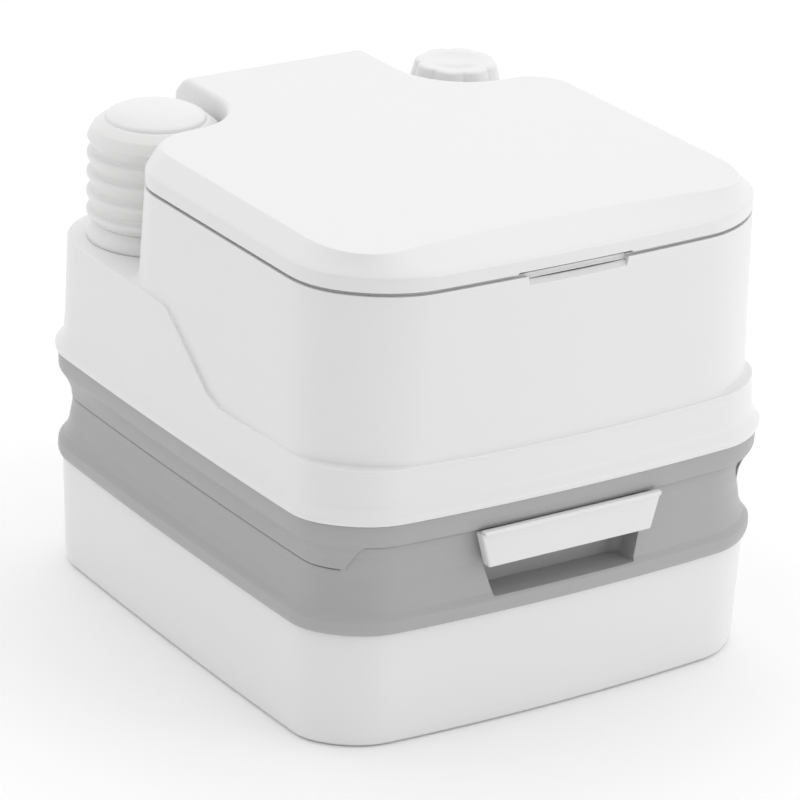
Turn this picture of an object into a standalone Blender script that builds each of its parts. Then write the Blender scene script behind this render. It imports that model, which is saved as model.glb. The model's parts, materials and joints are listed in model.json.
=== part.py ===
"""Portable camp toilet: a flushing upper unit standing on a removable waste tank.

Built in millimetres and scaled to metres.  +Z is up, the front faces -Y, and the
origin lies on the ground under the middle of the object.
"""
import math

import bmesh
import bpy
from mathutils import Vector

MM = 0.001
SHIFT_Y = 4.25              # moves the assembly so that its box is centred on Y
GAP = 0.35                  # clearance between pieces that touch

# Outside of the two tanks, at the flange where they look widest
HALF_W = 171.0
FRONT = 191.4
REAR = 186.0
R_FRONT = 52.0
R_REAR = 58.0
BOW_FRONT = 9.0
BOW_REAR = 5.0
SIDE_BOW = 4.0
WALL = 2.5                  # thickness of the moulded shells
BEAD = 2.5                  # how far the grey rim stands back from the widest plan
NECK = 2.6                  # how much narrower each side is at the grey waist

# Heights
Z_BASE_TOP = 75.6
Z_RIM = 76.0
Z_SHOULDER = 114.5          # top deck of the waste tank
Z_HUMP = 131.5              # raised front of the waste tank
Z_SKIRT = 115.0             # lower edge of the base tray's sides
Z_APRON = 132.2             # lower edge of the base tray's front
Z_PLATE = 133.0             # underside of the base tray's floor
Z_TRAY_TOP = 147.2
Z_FLANGE = 147.6            # lower edge of the white upper tank
Z_LEDGE = 178.5             # contour line round the front of the upper tank
Z_PUMP_DECK = 224.5
Z_CAP_DECK = 266.0
Z_DECK = 287.0
Z_LID = 288.4
Z_LID_EDGE = 297.3
Z_TOP = 308.8               # top of the lid

# Plan of the seat deck and of the lid that covers it
DECK_W = 161.6
DECK_FRONT = 182.9
DECK_R = 64.0
DECK_BOW = 6.0
HEEL = 42.0                 # corner radius beside the pump
HEEL_LOW = 31.0
TONGUE_LEFT = -66.4
TONGUE_RIGHT = 68.0
TONGUE_REAR = 172.0
TONGUE_SLOPE = 11.0         # how far the tongue's rear leans forwards up to its crease
DECK_REAR = 177.5
CREASE = (12.8, 27.3, 38.8, -11.7)      # side and front inset, corner radius, bow

NOTCH_PUMP = (75.0, 44.0)   # rear edge and corner radius round the pump
NOTCH_CAP = (69.0, 48.0)    # rear edge and corner radius round the filler cap

# Bowl and valve
OUTLET = (0.0, -20.0)
R_OUTLET = 44.0
BOWL_CENTRE = -50.0
BOWL_W = 98.0
BOWL_L = 116.0

# Pump, filler and hinge
PUMP = (-110.4, 119.0)
R_PUMP_VALVE = 11.0
R_BELLOWS = 43.0
R_VALLEY = 40.4
FOLDS = (279.2, 266.6, 254.0, 241.7)    # heights of the ridges below the shoulder
FILLER = (118.5, 125.0)
R_NECK = 22.0
HINGE = (161.5, 293.0)      # Y and Z of the hinge line
R_BARREL = 5.6
R_PIN = 2.4
Z_RECESS = 280.0            # floor of the recess in which the hinge stands

# Valve slide and handle
BLADE = 51.0                # half the width of the square blade
BLADE_TAIL = 28.0           # half the width of its pull strap
BLADE_CHANNEL = (117.4, 121.4)
HANDLE_FRONT = -192.0
HANDLE_BACK = -185.0
HANDLE_Z = (109.0, 134.0)
Z_SCOOP = 86.5              # floor of the finger recess under the handle
R_SCREW = 1.6
SCREWS = [(side * 70.5, y) for side in (-1, 1) for y in (-100, -35, 30)]

# Pour-out spout, vent button and latch at the rear
SPOUT = (-78.0, 148.0)
Z_POCKET = 82.0
Z_ARM = 107.0
R_SPOUT = 19.5
FOOT = 2.6                  # top of the spout's flange above the pocket floor
ARM_END = 14.0
VENT = (76.0, 101.0)
R_VENT = 7.0
VENT_WALL = 176.0           # outer face of the rear wall behind the vent button
LATCH_X = 112.0
LATCH_Y = 178.0
LATCH_Z = 138.0

ARC = 5                     # steps round a large corner
TURN = 28                   # steps round a large turned piece

collection = bpy.data.collections.new("portable_camp_toilet")
cutters = bpy.data.collections.new("cutters")


def start():
    for old in list(bpy.data.objects):
        bpy.data.objects.remove(old, do_unlink=True)
    for group in (collection, cutters):
        bpy.context.scene.collection.children.link(group)


def material(name, colour, roughness, metallic=0.0):
    made = bpy.data.materials.new(name)
    made.use_nodes = True
    shader = made.node_tree.nodes["Principled BSDF"]
    shader.inputs["Base Color"].default_value = (*colour, 1.0)
    shader.inputs["Roughness"].default_value = roughness
    shader.inputs["Metallic"].default_value = metallic
    return made


PALETTE = {
    "white": ((0.86, 0.86, 0.85), 0.32, 0.0),
    "grey": ((0.37, 0.38, 0.39), 0.42, 0.0),
    "rubber": ((0.03, 0.03, 0.03), 0.75, 0.0),
    "clear": ((0.72, 0.76, 0.78), 0.25, 0.0),
    "steel": ((0.62, 0.62, 0.63), 0.3, 1.0),
}


# ---------------------------------------------------------------- outlines

def rounded(corners):
    """Plan points of a polygon whose corners (x, y, radius, steps) are rounded off."""
    points = []
    count = len(corners)
    for i, (x, y, radius, steps) in enumerate(corners):
        here = Vector((x, y))
        if steps == 0:
            points.append(here)
            continue
        before = (Vector(corners[i - 1][:2]) - here).normalized()
        after = (Vector(corners[(i + 1) % count][:2]) - here).normalized()
        half = before.angle(after) / 2
        centre = here + (before + after).normalized() * (radius / math.sin(half))
        first = here + before * (radius / math.tan(half)) - centre
        last = here + after * (radius / math.tan(half)) - centre
        angle = math.atan2(first.y, first.x)
        sweep = (math.atan2(last.y, last.x) - angle + math.pi) % (2 * math.pi) - math.pi
        for k in range(steps + 1):
            turn = angle + sweep * k / steps
            points.append(centre + Vector((math.cos(turn), math.sin(turn))) * radius)
    return points


def bowed(points, half_w, front, rear, bow_f, bow_r, side):
    """Bulge the front, rear and sides of a plan outline."""
    out = []
    for p in points:
        x, y = p
        near_front = min(max((-y - front + R_FRONT) / R_FRONT, 0.0), 1.0)
        near_rear = min(max((y - rear + R_REAR) / R_REAR, 0.0), 1.0)
        across = (x / half_w) ** 2
        y += bow_f * across * near_front - bow_r * across * near_rear
        x -= math.copysign(side * (p.y / FRONT) ** 2, x) if abs(x) > half_w / 2 else 0.0
        out.append(Vector((x, y)))
    return out


def tank_plan(inset, narrow=0.0):
    """Rounded rectangle of the tanks, moved inwards by inset, its sides by narrow more."""
    w, f, r = HALF_W - inset - narrow, FRONT - inset, REAR - inset
    corners = [(-w, -f, R_FRONT - inset, ARC)]
    corners += [(x, -f, 0, 0) for x in (-75, -38, 0, 38, 75)]
    corners += [(w, -f, R_FRONT - inset, ARC), (w, -60, 0, 0), (w, 60, 0, 0), (w, r, R_REAR - inset, ARC)]
    corners += [(x, r, 0, 0) for x in (55, 0, -55)]
    corners += [(-w, r, R_REAR - inset, ARC), (-w, 60, 0, 0), (-w, -60, 0, 0)]
    return bowed(rounded(corners), w, f, r, BOW_FRONT, BOW_REAR, SIDE_BOW)


def deck_plan(side, front, back, tongue, rear, radius, bow_f, heel=HEEL):
    """Plan of the seat deck and lid: a broad front and a tongue between two notches."""
    w, f = DECK_W - side, DECK_FRONT - front
    left, right = TONGUE_LEFT + tongue, TONGUE_RIGHT - tongue
    cap_y, cap_r = NOTCH_CAP
    pump_y, pump_r = NOTCH_PUMP
    corners = [(-w, -f, radius, ARC)]
    corners += [(x, -f, 0, 0) for x in (-75, -38, 0, 38, 75)]
    corners += [(w, -f, radius, ARC), (w, -40, 0, 0), (w, cap_y - back, 32 - side / 2, 5)]
    corners += [(right, cap_y - back, cap_r + back, 8), (right, rear, 3.5, 3)]
    corners += [(left, rear, 3.5, 3), (left, pump_y - back, pump_r + back, 8)]
    corners += [(-w, pump_y - back, heel - side / 2, 5), (-w, -40, 0, 0)]
    return bowed(rounded(corners), w, f, rear + 400, bow_f, 0.0, 0.0)


def oval(half_w, half_l, centre_y, steps=TURN):
    turn = [2 * math.pi * k / steps for k in range(steps)]
    return [Vector((half_w * math.cos(a), centre_y + half_l * math.sin(a))) for a in turn]


def lobed(radius, lobes, depth, steps):
    turn = [2 * math.pi * k / steps for k in range(steps)]
    return [Vector((math.cos(a), math.sin(a))) * (radius - depth * (0.5 - 0.5 * math.cos(lobes * a)))
            for a in turn]


# ---------------------------------------------------------------- solids

def register(made, look, helper):
    """File an object with the parts, or with the hidden cutters."""
    if helper:
        cutters.objects.link(made)
        made.hide_render = True
        made.display_type = "WIRE"
    else:
        collection.objects.link(made)
        made.data.materials.append(material(made.name, *PALETTE[look]))


def finish(name, bm, look, origin=(0, 0, 0), helper=False):
    """Turn a bmesh in millimetres into a named object whose origin is at origin."""
    bmesh.ops.recalc_face_normals(bm, faces=bm.faces)
    bmesh.ops.translate(bm, verts=bm.verts, vec=-Vector(origin))
    bmesh.ops.scale(bm, verts=bm.verts, vec=(MM, MM, MM))
    mesh = bpy.data.meshes.new(name)
    bm.to_mesh(mesh)
    bm.free()
    mesh.shade_smooth()
    mesh.set_sharp_from_angle(angle=math.radians(35))
    made = bpy.data.objects.new(name, mesh)
    made.location = (Vector(origin) + Vector((0, SHIFT_Y, 0))) * MM
    register(made, look, helper)
    return made


def loft(name, rings, look="white", hollow=False, **options):
    """Body through rings given as (plan points, z): capped ends, or first joined to last."""
    bm = bmesh.new()
    rows = [[bm.verts.new((p.x, p.y, z)) for p in plan] for plan, z in rings]
    count = len(rows[0])
    pairs = list(zip(rows, rows[1:]))
    if hollow:
        pairs.append((rows[-1], rows[0]))
    else:
        bm.faces.new(rows[0])
        bm.faces.new(rows[-1])
    for low, high in pairs:
        for k in range(count):
            bm.faces.new((low[k], low[(k + 1) % count], high[(k + 1) % count], high[k]))
    return finish(name, bm, look, **options)


def prism(name, outline, axis, low, high, look="white", **options):
    """Extrude a 2D outline along X, Y or Z from low to high."""
    place = {
        "X": lambda u, v, w: (w, u, v),
        "Y": lambda u, v, w: (u, w, v),
        "Z": lambda u, v, w: (u, v, w),
    }[axis]
    bm = bmesh.new()
    ends = [[bm.verts.new(place(u, v, w)) for u, v in outline] for w in (low, high)]
    count = len(outline)
    for k in range(count):
        bm.faces.new((ends[0][k], ends[0][(k + 1) % count], ends[1][(k + 1) % count], ends[1][k]))
    for end in ends:
        bm.faces.new(end)
    return finish(name, bm, look, **options)


def box(name, x, y, z, look="white", **options):
    return prism(name, [(x[0], y[0]), (x[1], y[0]), (x[1], y[1]), (x[0], y[1])], "Z", *z,
                 look=look, **options)


def cylinder(name, radius, centre, low, high, axis="Z", steps=TURN, look="white", **options):
    turn = [2 * math.pi * k / steps for k in range(steps)]
    outline = [(centre[0] + radius * math.cos(a), centre[1] + radius * math.sin(a)) for a in turn]
    return prism(name, outline, axis, low, high, look=look, **options)


def turned(name, profile, centre, look="white", steps=TURN, tilt=(0, 0, 0), helper=False):
    """Turn a closed profile of (radius, height) about an axis through centre.

    The profile runs down its outer side; its last point joins its first unless both
    lie on the axis.
    """
    bm = bmesh.new()
    verts = [bm.verts.new((r * MM, 0, z * MM)) for r, z in profile]
    for a, b in zip(verts, verts[1:]):
        bm.edges.new((a, b))
    if profile[0][0] > 0:
        bm.edges.new((verts[-1], verts[0]))
    mesh = bpy.data.meshes.new(name)
    bm.to_mesh(mesh)
    bm.free()
    made = bpy.data.objects.new(name, mesh)
    made.location = (Vector(centre) + Vector((0, SHIFT_Y, 0))) * MM
    made.rotation_euler = tilt
    screw = made.modifiers.new("turn", "SCREW")
    screw.steps = steps
    screw.render_steps = steps
    screw.use_merge_vertices = True
    screw.merge_threshold = 0.00001
    screw.use_smooth_shade = True
    register(made, look, helper)
    return made


def ring(name, inner, outer, centre, low, high, look="rubber", steps=TURN, tilt=(0, 0, 0)):
    """Plain ring; its profile runs down the outer side and back up the bore."""
    profile = [(outer, high), (outer, low), (inner, low), (inner, high)]
    return turned(name, profile, centre, look, steps, tilt)


def tube(name, points, radius, look="clear", sides=2):
    """Round rod or hose along a smooth route of points."""
    curve = bpy.data.curves.new(name, "CURVE")
    curve.dimensions = "3D"
    curve.bevel_depth = radius * MM
    curve.bevel_resolution = sides
    curve.use_fill_caps = True
    spline = curve.splines.new("POLY")
    spline.points.add(len(points) - 1)
    for spot, p in zip(spline.points, points):
        spot.co = (p[0] * MM, (p[1] + SHIFT_Y) * MM, p[2] * MM, 1.0)
    made = bpy.data.objects.new(name, curve)
    collection.objects.link(made)
    made.data.materials.append(material(name, *PALETTE[look]))
    return made


def arc_between(start_point, bend, end_point, steps):
    """Smooth route from start to end that leaves and arrives towards the bend point."""
    a, b, c = Vector(start_point), Vector(bend), Vector(end_point)
    return [a * (1 - t) ** 2 + b * 2 * t * (1 - t) + c * t ** 2
            for t in (k / steps for k in range(steps + 1))]


def boolean(target, tool, operation):
    step = target.modifiers.new(operation.lower(), "BOOLEAN")
    step.operation = operation
    step.object = tool
    step.solver = "EXACT"


def cut(target, *tools):
    for tool in tools:
        boolean(target, tool, "DIFFERENCE")


def weld(target, *tools):
    for tool in tools:
        boolean(target, tool, "UNION")


# ---------------------------------------------------------------- waste tank

def apron_outline(slack, low):
    """Front view of the opening in the base tray's skirt that the raised front fills."""
    top, side = Z_APRON - 2 * slack, 139.0 - slack
    return [(-side - 11, low), (side + 11, low), (side, top), (-side, top)]


def waste_tank_base():
    loft("waste_tank_base", [
        (tank_plan(15.0 + WALL), WALL), (tank_plan(8.2 + WALL), WALL + 4.5),
        (tank_plan(5.7 + WALL), Z_BASE_TOP),
        (tank_plan(5.7), Z_BASE_TOP), (tank_plan(7.6), 8.0), (tank_plan(9.6), 2.6), (tank_plan(14.5), 0.0),
    ])


def waste_tank_top():
    top = loft("waste_tank_top", [
        (tank_plan(9.0 + WALL, NECK), Z_SHOULDER - WALL), (tank_plan(6.8 + WALL, NECK), 94.0),
        (tank_plan(6.0 + WALL), Z_RIM),
        (tank_plan(BEAD + 0.6), Z_RIM), (tank_plan(BEAD), 79.5), (tank_plan(BEAD + 0.4), 85.0),
        (tank_plan(5.6, NECK / 2), 91.0), (tank_plan(7.4, NECK), 97.0), (tank_plan(9.0, NECK), 108.0),
        (tank_plan(9.0, NECK), Z_SHOULDER),
    ], look="grey")
    hump = loft("hump", [(tank_plan(9.0, NECK), 110.0), (tank_plan(8.6, NECK), 122.0),
                         (tank_plan(7.0, NECK), Z_HUMP)], helper=True)
    behind = box("behind_hump", (-200, 200), (-150, 250), (100, 150), helper=True)
    keep = prism("hump_ends", apron_outline(GAP, 100.0), "Y", -250, -100, helper=True)
    cut(hump, behind)
    boolean(hump, keep, "INTERSECT")
    weld(top, hump)
    liner = loft("handle_liner", [(tank_plan(4.5, NECK), 80.5), (tank_plan(6.0, NECK), 85.0),
                                  (tank_plan(7.2, NECK), 91.0), (tank_plan(8.8, NECK), 97.0),
                                  (tank_plan(10.2, NECK), 108.0), (tank_plan(10.2, NECK), 113.0)],
                 helper=True)
    boolean(liner, box("liner_block", (-62, 62), (-250, -158), (70, 120), helper=True), "INTERSECT")
    weld(top, liner)
    weld(top, cylinder("vent_boss", R_VENT + 4.6, VENT, VENT_WALL - 22, VENT_WALL - 1, axis="Y", steps=20,
                       helper=True))
    weld(top, box("spout_liner", (-112, 44), (114, 173), (78, 113), helper=True))
    scoop = [(-51.2, Z_SCOOP), (51.2, Z_SCOOP), (57.5, 107), (57.5, 129), (-57.5, 129), (-57.5, 107)]
    cut(top, prism("handle_scoop", scoop, "Y", -205, -166, helper=True))
    cut(top, box("blade_slot", (-BLADE - 1.5, BLADE + 1.5), (-168, -140), (116.6, 122.2), helper=True))
    cut(top, cylinder("waste_inlet", R_OUTLET + 1.0, OUTLET, 100, 130, helper=True))
    cut(top, box("spout_pocket", (-108, 40), (118, 220), (Z_POCKET, 150), helper=True))
    cut(top, cylinder("spout_bore", R_SPOUT - 3.5, SPOUT, 70, 100, steps=28, helper=True))
    cut(top, cylinder("vent_bore", R_VENT + 0.5, VENT, VENT_WALL - 18, 220, axis="Y", steps=20, helper=True))
    cut(top, cylinder("vent_stem_bore", 3.2, VENT, 140, 220, axis="Y", steps=12, helper=True))
    for x, y in SCREWS:
        cut(top, cylinder("screw_bore", R_SCREW + 0.3, (x, y), 104, 130, steps=10, helper=True))


def valve():
    """Slide valve on the waste tank: frame, seals, blade, handle and screws."""
    low, high = Z_SHOULDER + GAP, 124.0
    frame = box("valve_frame", (-66, 66), (-148, 46), (low, high), look="grey")
    weld(frame, box("frame_ears", (-75, 75), (-110, 40), (low, low + 3.0), helper=True))
    cut(frame, box("blade_channel", (-BLADE - 1.0, BLADE + 1.0), (-160, 40), BLADE_CHANNEL, helper=True))
    cut(frame, cylinder("frame_bore", R_OUTLET + 2.0, OUTLET, 100, 140, helper=True))
    for x, y in SCREWS:
        cut(frame, cylinder("ear_bore", R_SCREW + 0.3, (x, y), 100, 130, steps=10, helper=True))
    centre = (*OUTLET, 0)
    ring("valve_seal", R_OUTLET + 2.5, R_OUTLET + 11.0, centre, high + GAP, 127.6)
    ring("bowl_seal", R_OUTLET + 3.6, R_OUTLET + 13.0, centre, 127.6 + GAP, Z_PLATE - GAP)

    plate_low, plate_high = BLADE_CHANNEL[0] + 0.4, BLADE_CHANNEL[1] - 0.4
    front, rear = OUTLET[1] - BLADE, OUTLET[1] + BLADE
    strap = HANDLE_BACK + GAP
    blade = rounded([(-BLADE, rear, 8, 3), (-BLADE, front, 8, 3), (-BLADE_TAIL, front, 6, 3),
                     (-BLADE_TAIL, strap, 0, 0), (BLADE_TAIL, strap, 0, 0), (BLADE_TAIL, front, 6, 3),
                     (BLADE, front, 8, 3), (BLADE, rear, 8, 3)])
    prism("valve_blade", blade, "Z", plate_low, plate_high, look="clear")
    for k, (x, y) in enumerate(SCREWS):
        head = low + 3.0 + GAP
        profile = [(0, head + 2.4), (3.0, head + 1.9), (3.6, head), (R_SCREW, head), (R_SCREW, 106), (0, 105)]
        turned(f"valve_screw_{k + 1}", profile, (x, y, 0), look="steel", steps=16)


def valve_handle():
    """Trapezoid pull with a hooked lip along its top, open behind for the fingers."""
    low, high = HANDLE_Z
    lip = high - 2.8
    face = [(-59.5, low), (58.5, low), (65, high), (-66.8, high)]
    handle = prism("valve_handle", face, "Y", HANDLE_FRONT, HANDLE_BACK)
    cut(handle, box("lip_step", (-80, 80), (HANDLE_FRONT + 1.8, HANDLE_BACK + 5), (lip, high + 5),
                    helper=True))
    weld(handle, box("handle_lip", (-66.2, 64.4), (HANDLE_FRONT - 2.5, HANDLE_FRONT + 1.8),
                     (lip - 1.5, high), helper=True))
    cut(handle, box("finger_space", (-54, 54), (HANDLE_FRONT + 3.5, HANDLE_BACK + 5), (low - 5, 114),
                    helper=True))


def pour_spout():
    """Elbow that lies along the rear wall and swings out on its stub."""
    x, y = SPOUT
    bend = 24.0
    route = [Vector((x, y, Z_POCKET + GAP)), Vector((x, y, Z_ARM - bend + 8))]
    for k in range(1, 7):
        turn = math.radians(90 * k / 6)
        route.append(Vector((x + 16 * (1 - math.cos(turn)), y, Z_ARM - 16 + 16 * math.sin(turn))))
    route.append(Vector((ARM_END, y, Z_ARM)))
    spout = pipe("pour_spout", route, R_SPOUT, R_SPOUT - 2.5, "grey", origin=(x, y, Z_POCKET))
    foot = Z_POCKET + FOOT
    weld(spout, turned("spout_foot", [(25.5, foot), (25.5, Z_POCKET + GAP), (R_SPOUT - 2.4, Z_POCKET + GAP),
                                      (R_SPOUT - 2.4, foot)], (x, y, 0), helper=True))
    tilt = (0, math.pi / 2, 0)
    ring("spout_gasket", R_SPOUT - 2.4, R_SPOUT - 0.2, (ARM_END + GAP, y, Z_ARM), 0, 2.0, tilt=tilt)
    outline = lobed(24.0, 12, 1.6, 48)
    inner = oval(R_SPOUT + 0.8, R_SPOUT + 0.8, 0, 48)
    end = ARM_END + 2.0 + 2 * GAP
    cap = loft("spout_cap", [(inner, end), (inner, ARM_END - 12), (outline, ARM_END - 12),
                             (outline, end + 2), (lobed(21.5, 12, 1.2, 48), end + 4)], look="grey")
    cap.rotation_euler = tilt
    cap.location = (0, (y + SHIFT_Y) * MM, Z_ARM * MM)


def pipe(name, route, outer, inner, look, origin):
    """Hollow pipe along a route in one vertical plane of constant Y, open at both ends."""
    sides = 24
    rows = []
    for i, spot in enumerate(route):
        ahead = (route[min(i + 1, len(route) - 1)] - route[max(i - 1, 0)]).normalized()
        side = Vector((0, 1, 0))
        up = ahead.cross(side)
        rows.append([(spot, side, up, 2 * math.pi * k / sides) for k in range(sides)])
    bm = bmesh.new()
    skins = []
    for radius in (outer, inner):
        skins.append([[bm.verts.new(s + (a * math.cos(t) + b * math.sin(t)) * radius) for s, a, b, t in row]
                      for row in rows])
    for skin in skins:
        for low, high in zip(skin, skin[1:]):
            for k in range(sides):
                bm.faces.new((low[k], low[(k + 1) % sides], high[(k + 1) % sides], high[k]))
    for end in (0, -1):
        a, b = skins[0][end], skins[1][end]
        for k in range(sides):
            bm.faces.new((a[k], a[(k + 1) % sides], b[(k + 1) % sides], b[k]))
    return finish(name, bm, look, origin=origin)


def spout_ring():
    """Retainer screwed down over the spout's foot; the foot turns inside it."""
    low, ledge, high = Z_POCKET + GAP, Z_POCKET + FOOT + 0.6, Z_POCKET + FOOT + 2.2
    profile = [(28.5, high), (28.5, low), (26.0, low), (26.0, ledge), (R_SPOUT + 1.0, ledge),
               (R_SPOUT + 1.0, high)]
    turned("spout_ring", profile, (*SPOUT, 0), look="grey")


def vent():
    """Sprung button that lets air in while the tank is poured out."""
    x, z = VENT
    tilt = (-math.pi / 2, 0, 0)
    profile = [(0, 8.5), (5.6, 8.0), (R_VENT, 6.4), (R_VENT, -6), (2.6, -6), (2.6, -25), (0, -25)]
    turned("vent_button", profile, (x, VENT_WALL, z), look="grey", steps=20, tilt=tilt)
    ring("vent_seal", 2.9, 8.5, (x, VENT_WALL, z), -24.6, -22 - GAP, steps=20, tilt=tilt)
    coils, turn, wire, radius = 4, 10, 0.6, 4.6
    high = VENT_WALL - 6 - wire - GAP
    low = high - 6.0
    steps = coils * turn
    route = [(x + radius * math.cos(2 * math.pi * k / turn), low + (high - low) * k / steps,
              z + radius * math.sin(2 * math.pi * k / turn)) for k in range(steps + 1)]
    tube("vent_spring", route, wire, look="steel", sides=1)


def release_latch():
    """Flap at the rear that snaps over the waste tank's catch, on a pin in two lugs."""
    y = LATCH_Y
    flap = prism("release_latch", rounded([
        (y - 1.6, 98, 1.5, 3), (y + 3.2, 98, 1.5, 3), (y + 3.2, LATCH_Z - 4.2, 0, 0),
        (y + 4.2, LATCH_Z, 0, 0),
        (y + 3.0, LATCH_Z + 3.6, 1.5, 3), (y - 3.4, LATCH_Z + 3.6, 1.5, 3), (y - 3.4, LATCH_Z - 4.2, 0, 0),
        (y - 0.8, LATCH_Z - 7.5, 0, 0)]), "X", LATCH_X - 15, LATCH_X + 15, look="grey",
        origin=(LATCH_X, y, LATCH_Z))
    cut(flap, cylinder("flap_bore", R_PIN + 0.35, (y, LATCH_Z), LATCH_X - 30, LATCH_X + 30, axis="X",
                       steps=16, helper=True))
    cylinder("latch_pin", R_PIN, (y, LATCH_Z), LATCH_X - 22, LATCH_X + 22, axis="X", steps=16, look="steel",
             origin=(LATCH_X, y, LATCH_Z))


# ---------------------------------------------------------------- upper unit

def base_tray():
    """Grey floor and skirt of the upper unit; the skirt is cut away at the front."""
    tray = loft("base_tray", [
        (tank_plan(2.8 + WALL), Z_PLATE + WALL), (tank_plan(2.8 + WALL), Z_TRAY_TOP),
        (tank_plan(2.0), Z_TRAY_TOP), (tank_plan(2.4), 136.0), (tank_plan(5.4, NECK / 2), 129.0),
        (tank_plan(8.2, NECK), 120.0), (tank_plan(8.4, NECK), Z_SKIRT),
        (tank_plan(8.4 + WALL, NECK), Z_SKIRT), (tank_plan(8.2 + WALL, NECK), 122.0),
        (tank_plan(6.2 + WALL, NECK / 2), Z_PLATE),
    ], look="grey")
    cut(tray, prism("apron_cut", apron_outline(-GAP, 100.0), "Y", -250, -120, helper=True))
    cut(tray, cylinder("tray_outlet", R_OUTLET + 7.0, OUTLET, 100, 160, helper=True))
    cut(tray, box("spout_window", (-112, 44), (140, 220), (100, 132), helper=True))
    for side in (-1, 1):
        x = LATCH_X + side * 19
        lug = rounded([(150, 130, 0, 0), (LATCH_Y + 5, LATCH_Z - 5, 3, 3), (LATCH_Y + 5, LATCH_Z + 5, 3, 3),
                       (150, LATCH_Z + 5, 0, 0)])
        weld(tray, prism("latch_lug", lug, "X", x - 2.5, x + 2.5, helper=True))
    cut(tray, box("latch_bay", (LATCH_X - 16, LATCH_X + 16), (LATCH_Y - 5.5, 220), (100, 144), helper=True))
    cut(tray, cylinder("lug_bore", R_PIN + 0.35, (LATCH_Y, LATCH_Z), LATCH_X - 40, LATCH_X + 40, axis="X",
                       steps=16, helper=True))


def upper_tank():
    """White water tank: seat deck, tongue, pump and filler decks, ledge and flange."""
    tank = loft("upper_tank", [
        (tank_plan(0.2), Z_FLANGE), (tank_plan(0.0), 149.5), (tank_plan(1.6), 154.0), (tank_plan(4.6), 157.5),
        (tank_plan(5.6), 161.0), (tank_plan(6.8), 176.5), (tank_plan(8.4), Z_PUMP_DECK - 1.2),
        (tank_plan(9.6), Z_PUMP_DECK)])
    ledge = rounded([(-260, Z_LEDGE, 0, 0), (-45, Z_LEDGE, 26, 5), (14, Z_PUMP_DECK + 3, 16, 5),
                     (200, Z_PUMP_DECK + 3, 0, 0), (200, 300, 0, 0), (-260, 300, 0, 0)])
    cut(tank, prism("above_ledge", ledge, "X", -250, 250, helper=True))
    weld(tank, loft("deck_block", [
        (deck_plan(-0.6, -0.3, 0, 0, DECK_REAR, 56, BOW_FRONT, HEEL_LOW), 152.0),
        (deck_plan(0, 0, 0, 0, DECK_REAR, DECK_R, DECK_BOW), Z_DECK - 1.2),
        (deck_plan(1.2, 1.2, 0, 0, DECK_REAR, DECK_R - 1, DECK_BOW), Z_DECK)], helper=True))

    weld(tank, filler_block("filler_block", 9.6, 180.0, Z_CAP_DECK, 64.0, 20.0))
    weld(tank, cylinder("filler_neck", R_NECK + 2.5, FILLER, 260, 290, helper=True))

    cut(tank, loft("deck_hollow", [
        (deck_plan(WALL, WALL, WALL, WALL, DECK_REAR - WALL, DECK_R - WALL, DECK_BOW, HEEL_LOW), 140.0),
        (deck_plan(WALL, WALL, WALL, WALL, DECK_REAR - WALL, DECK_R - WALL, DECK_BOW), Z_DECK - WALL)],
        helper=True))
    cut(tank, loft("skirt_hollow", [
        (tank_plan(2.5 + WALL), 140.0), (tank_plan(5.8 + WALL), 158.0), (tank_plan(9.6 + WALL), 176.0),
        (tank_plan(9.6 + WALL), Z_PUMP_DECK - WALL)], helper=True))
    cut(tank, filler_block("filler_hollow", 9.6 + WALL, 200.0, Z_CAP_DECK - WALL, 64.0 + 1.5 * WALL, 24.0))
    cut(tank, cylinder("filler_bore", R_NECK - 0.5, FILLER, 250, 300, helper=True))
    cut(tank, cylinder("pump_bore", R_PUMP_VALVE + 0.5, PUMP, 210, 240, steps=24, helper=True))
    cut(tank, prism("seat_opening", oval(BOWL_W, BOWL_L, BOWL_CENTRE), "Z", 270, 300, helper=True))
    weld(tank, box("hinge_bed", (-65, 67), (147, 177), (Z_RECESS - WALL, Z_DECK - 1), helper=True))
    cut(tank, box("hinge_recess", (-80, 80), (150, 200), (Z_RECESS, 300), helper=True))
    for side in (-1, 1):
        for low, high in ((30.0, 38.0), (58.4, 63.2)):
            weld(tank, prism("hinge_lug", lug_outline(R_BARREL + 0.6, Z_RECESS - 1), "X",
                             *sorted((side * low, side * high)), helper=True))
    cut(tank, cylinder("pin_bore", R_PIN + 0.35, HINGE, -80, 80, axis="X", steps=16, helper=True))
    scoop = [(-200, 277.5), (-181, 277.5), (-176.5, 283), (-176.5, 295), (-200, 295)]
    cut(tank, prism("finger_scoop", scoop, "X", -37, 37, helper=True))


def filler_block(name, inset, low, high, west, south):
    """Rear right quarter of the tank plan, raised to carry the filler neck."""
    block = loft(name, [(tank_plan(inset), low), (tank_plan(inset), high)], helper=True)
    keep = box(name + "_quarter", (west, 250), (south, 250), (100, 300), helper=True)
    boolean(block, keep, "INTERSECT")
    return block


def lug_outline(radius, foot):
    """Upright arch round the hinge line, seen from the side."""
    y, z = HINGE
    return rounded([(y - radius, foot, 0, 0), (y + radius, foot, 0, 0),
                    (y + radius, z + radius, radius - 0.01, 4), (y - radius, z + radius, radius - 0.01, 4)])


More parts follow.
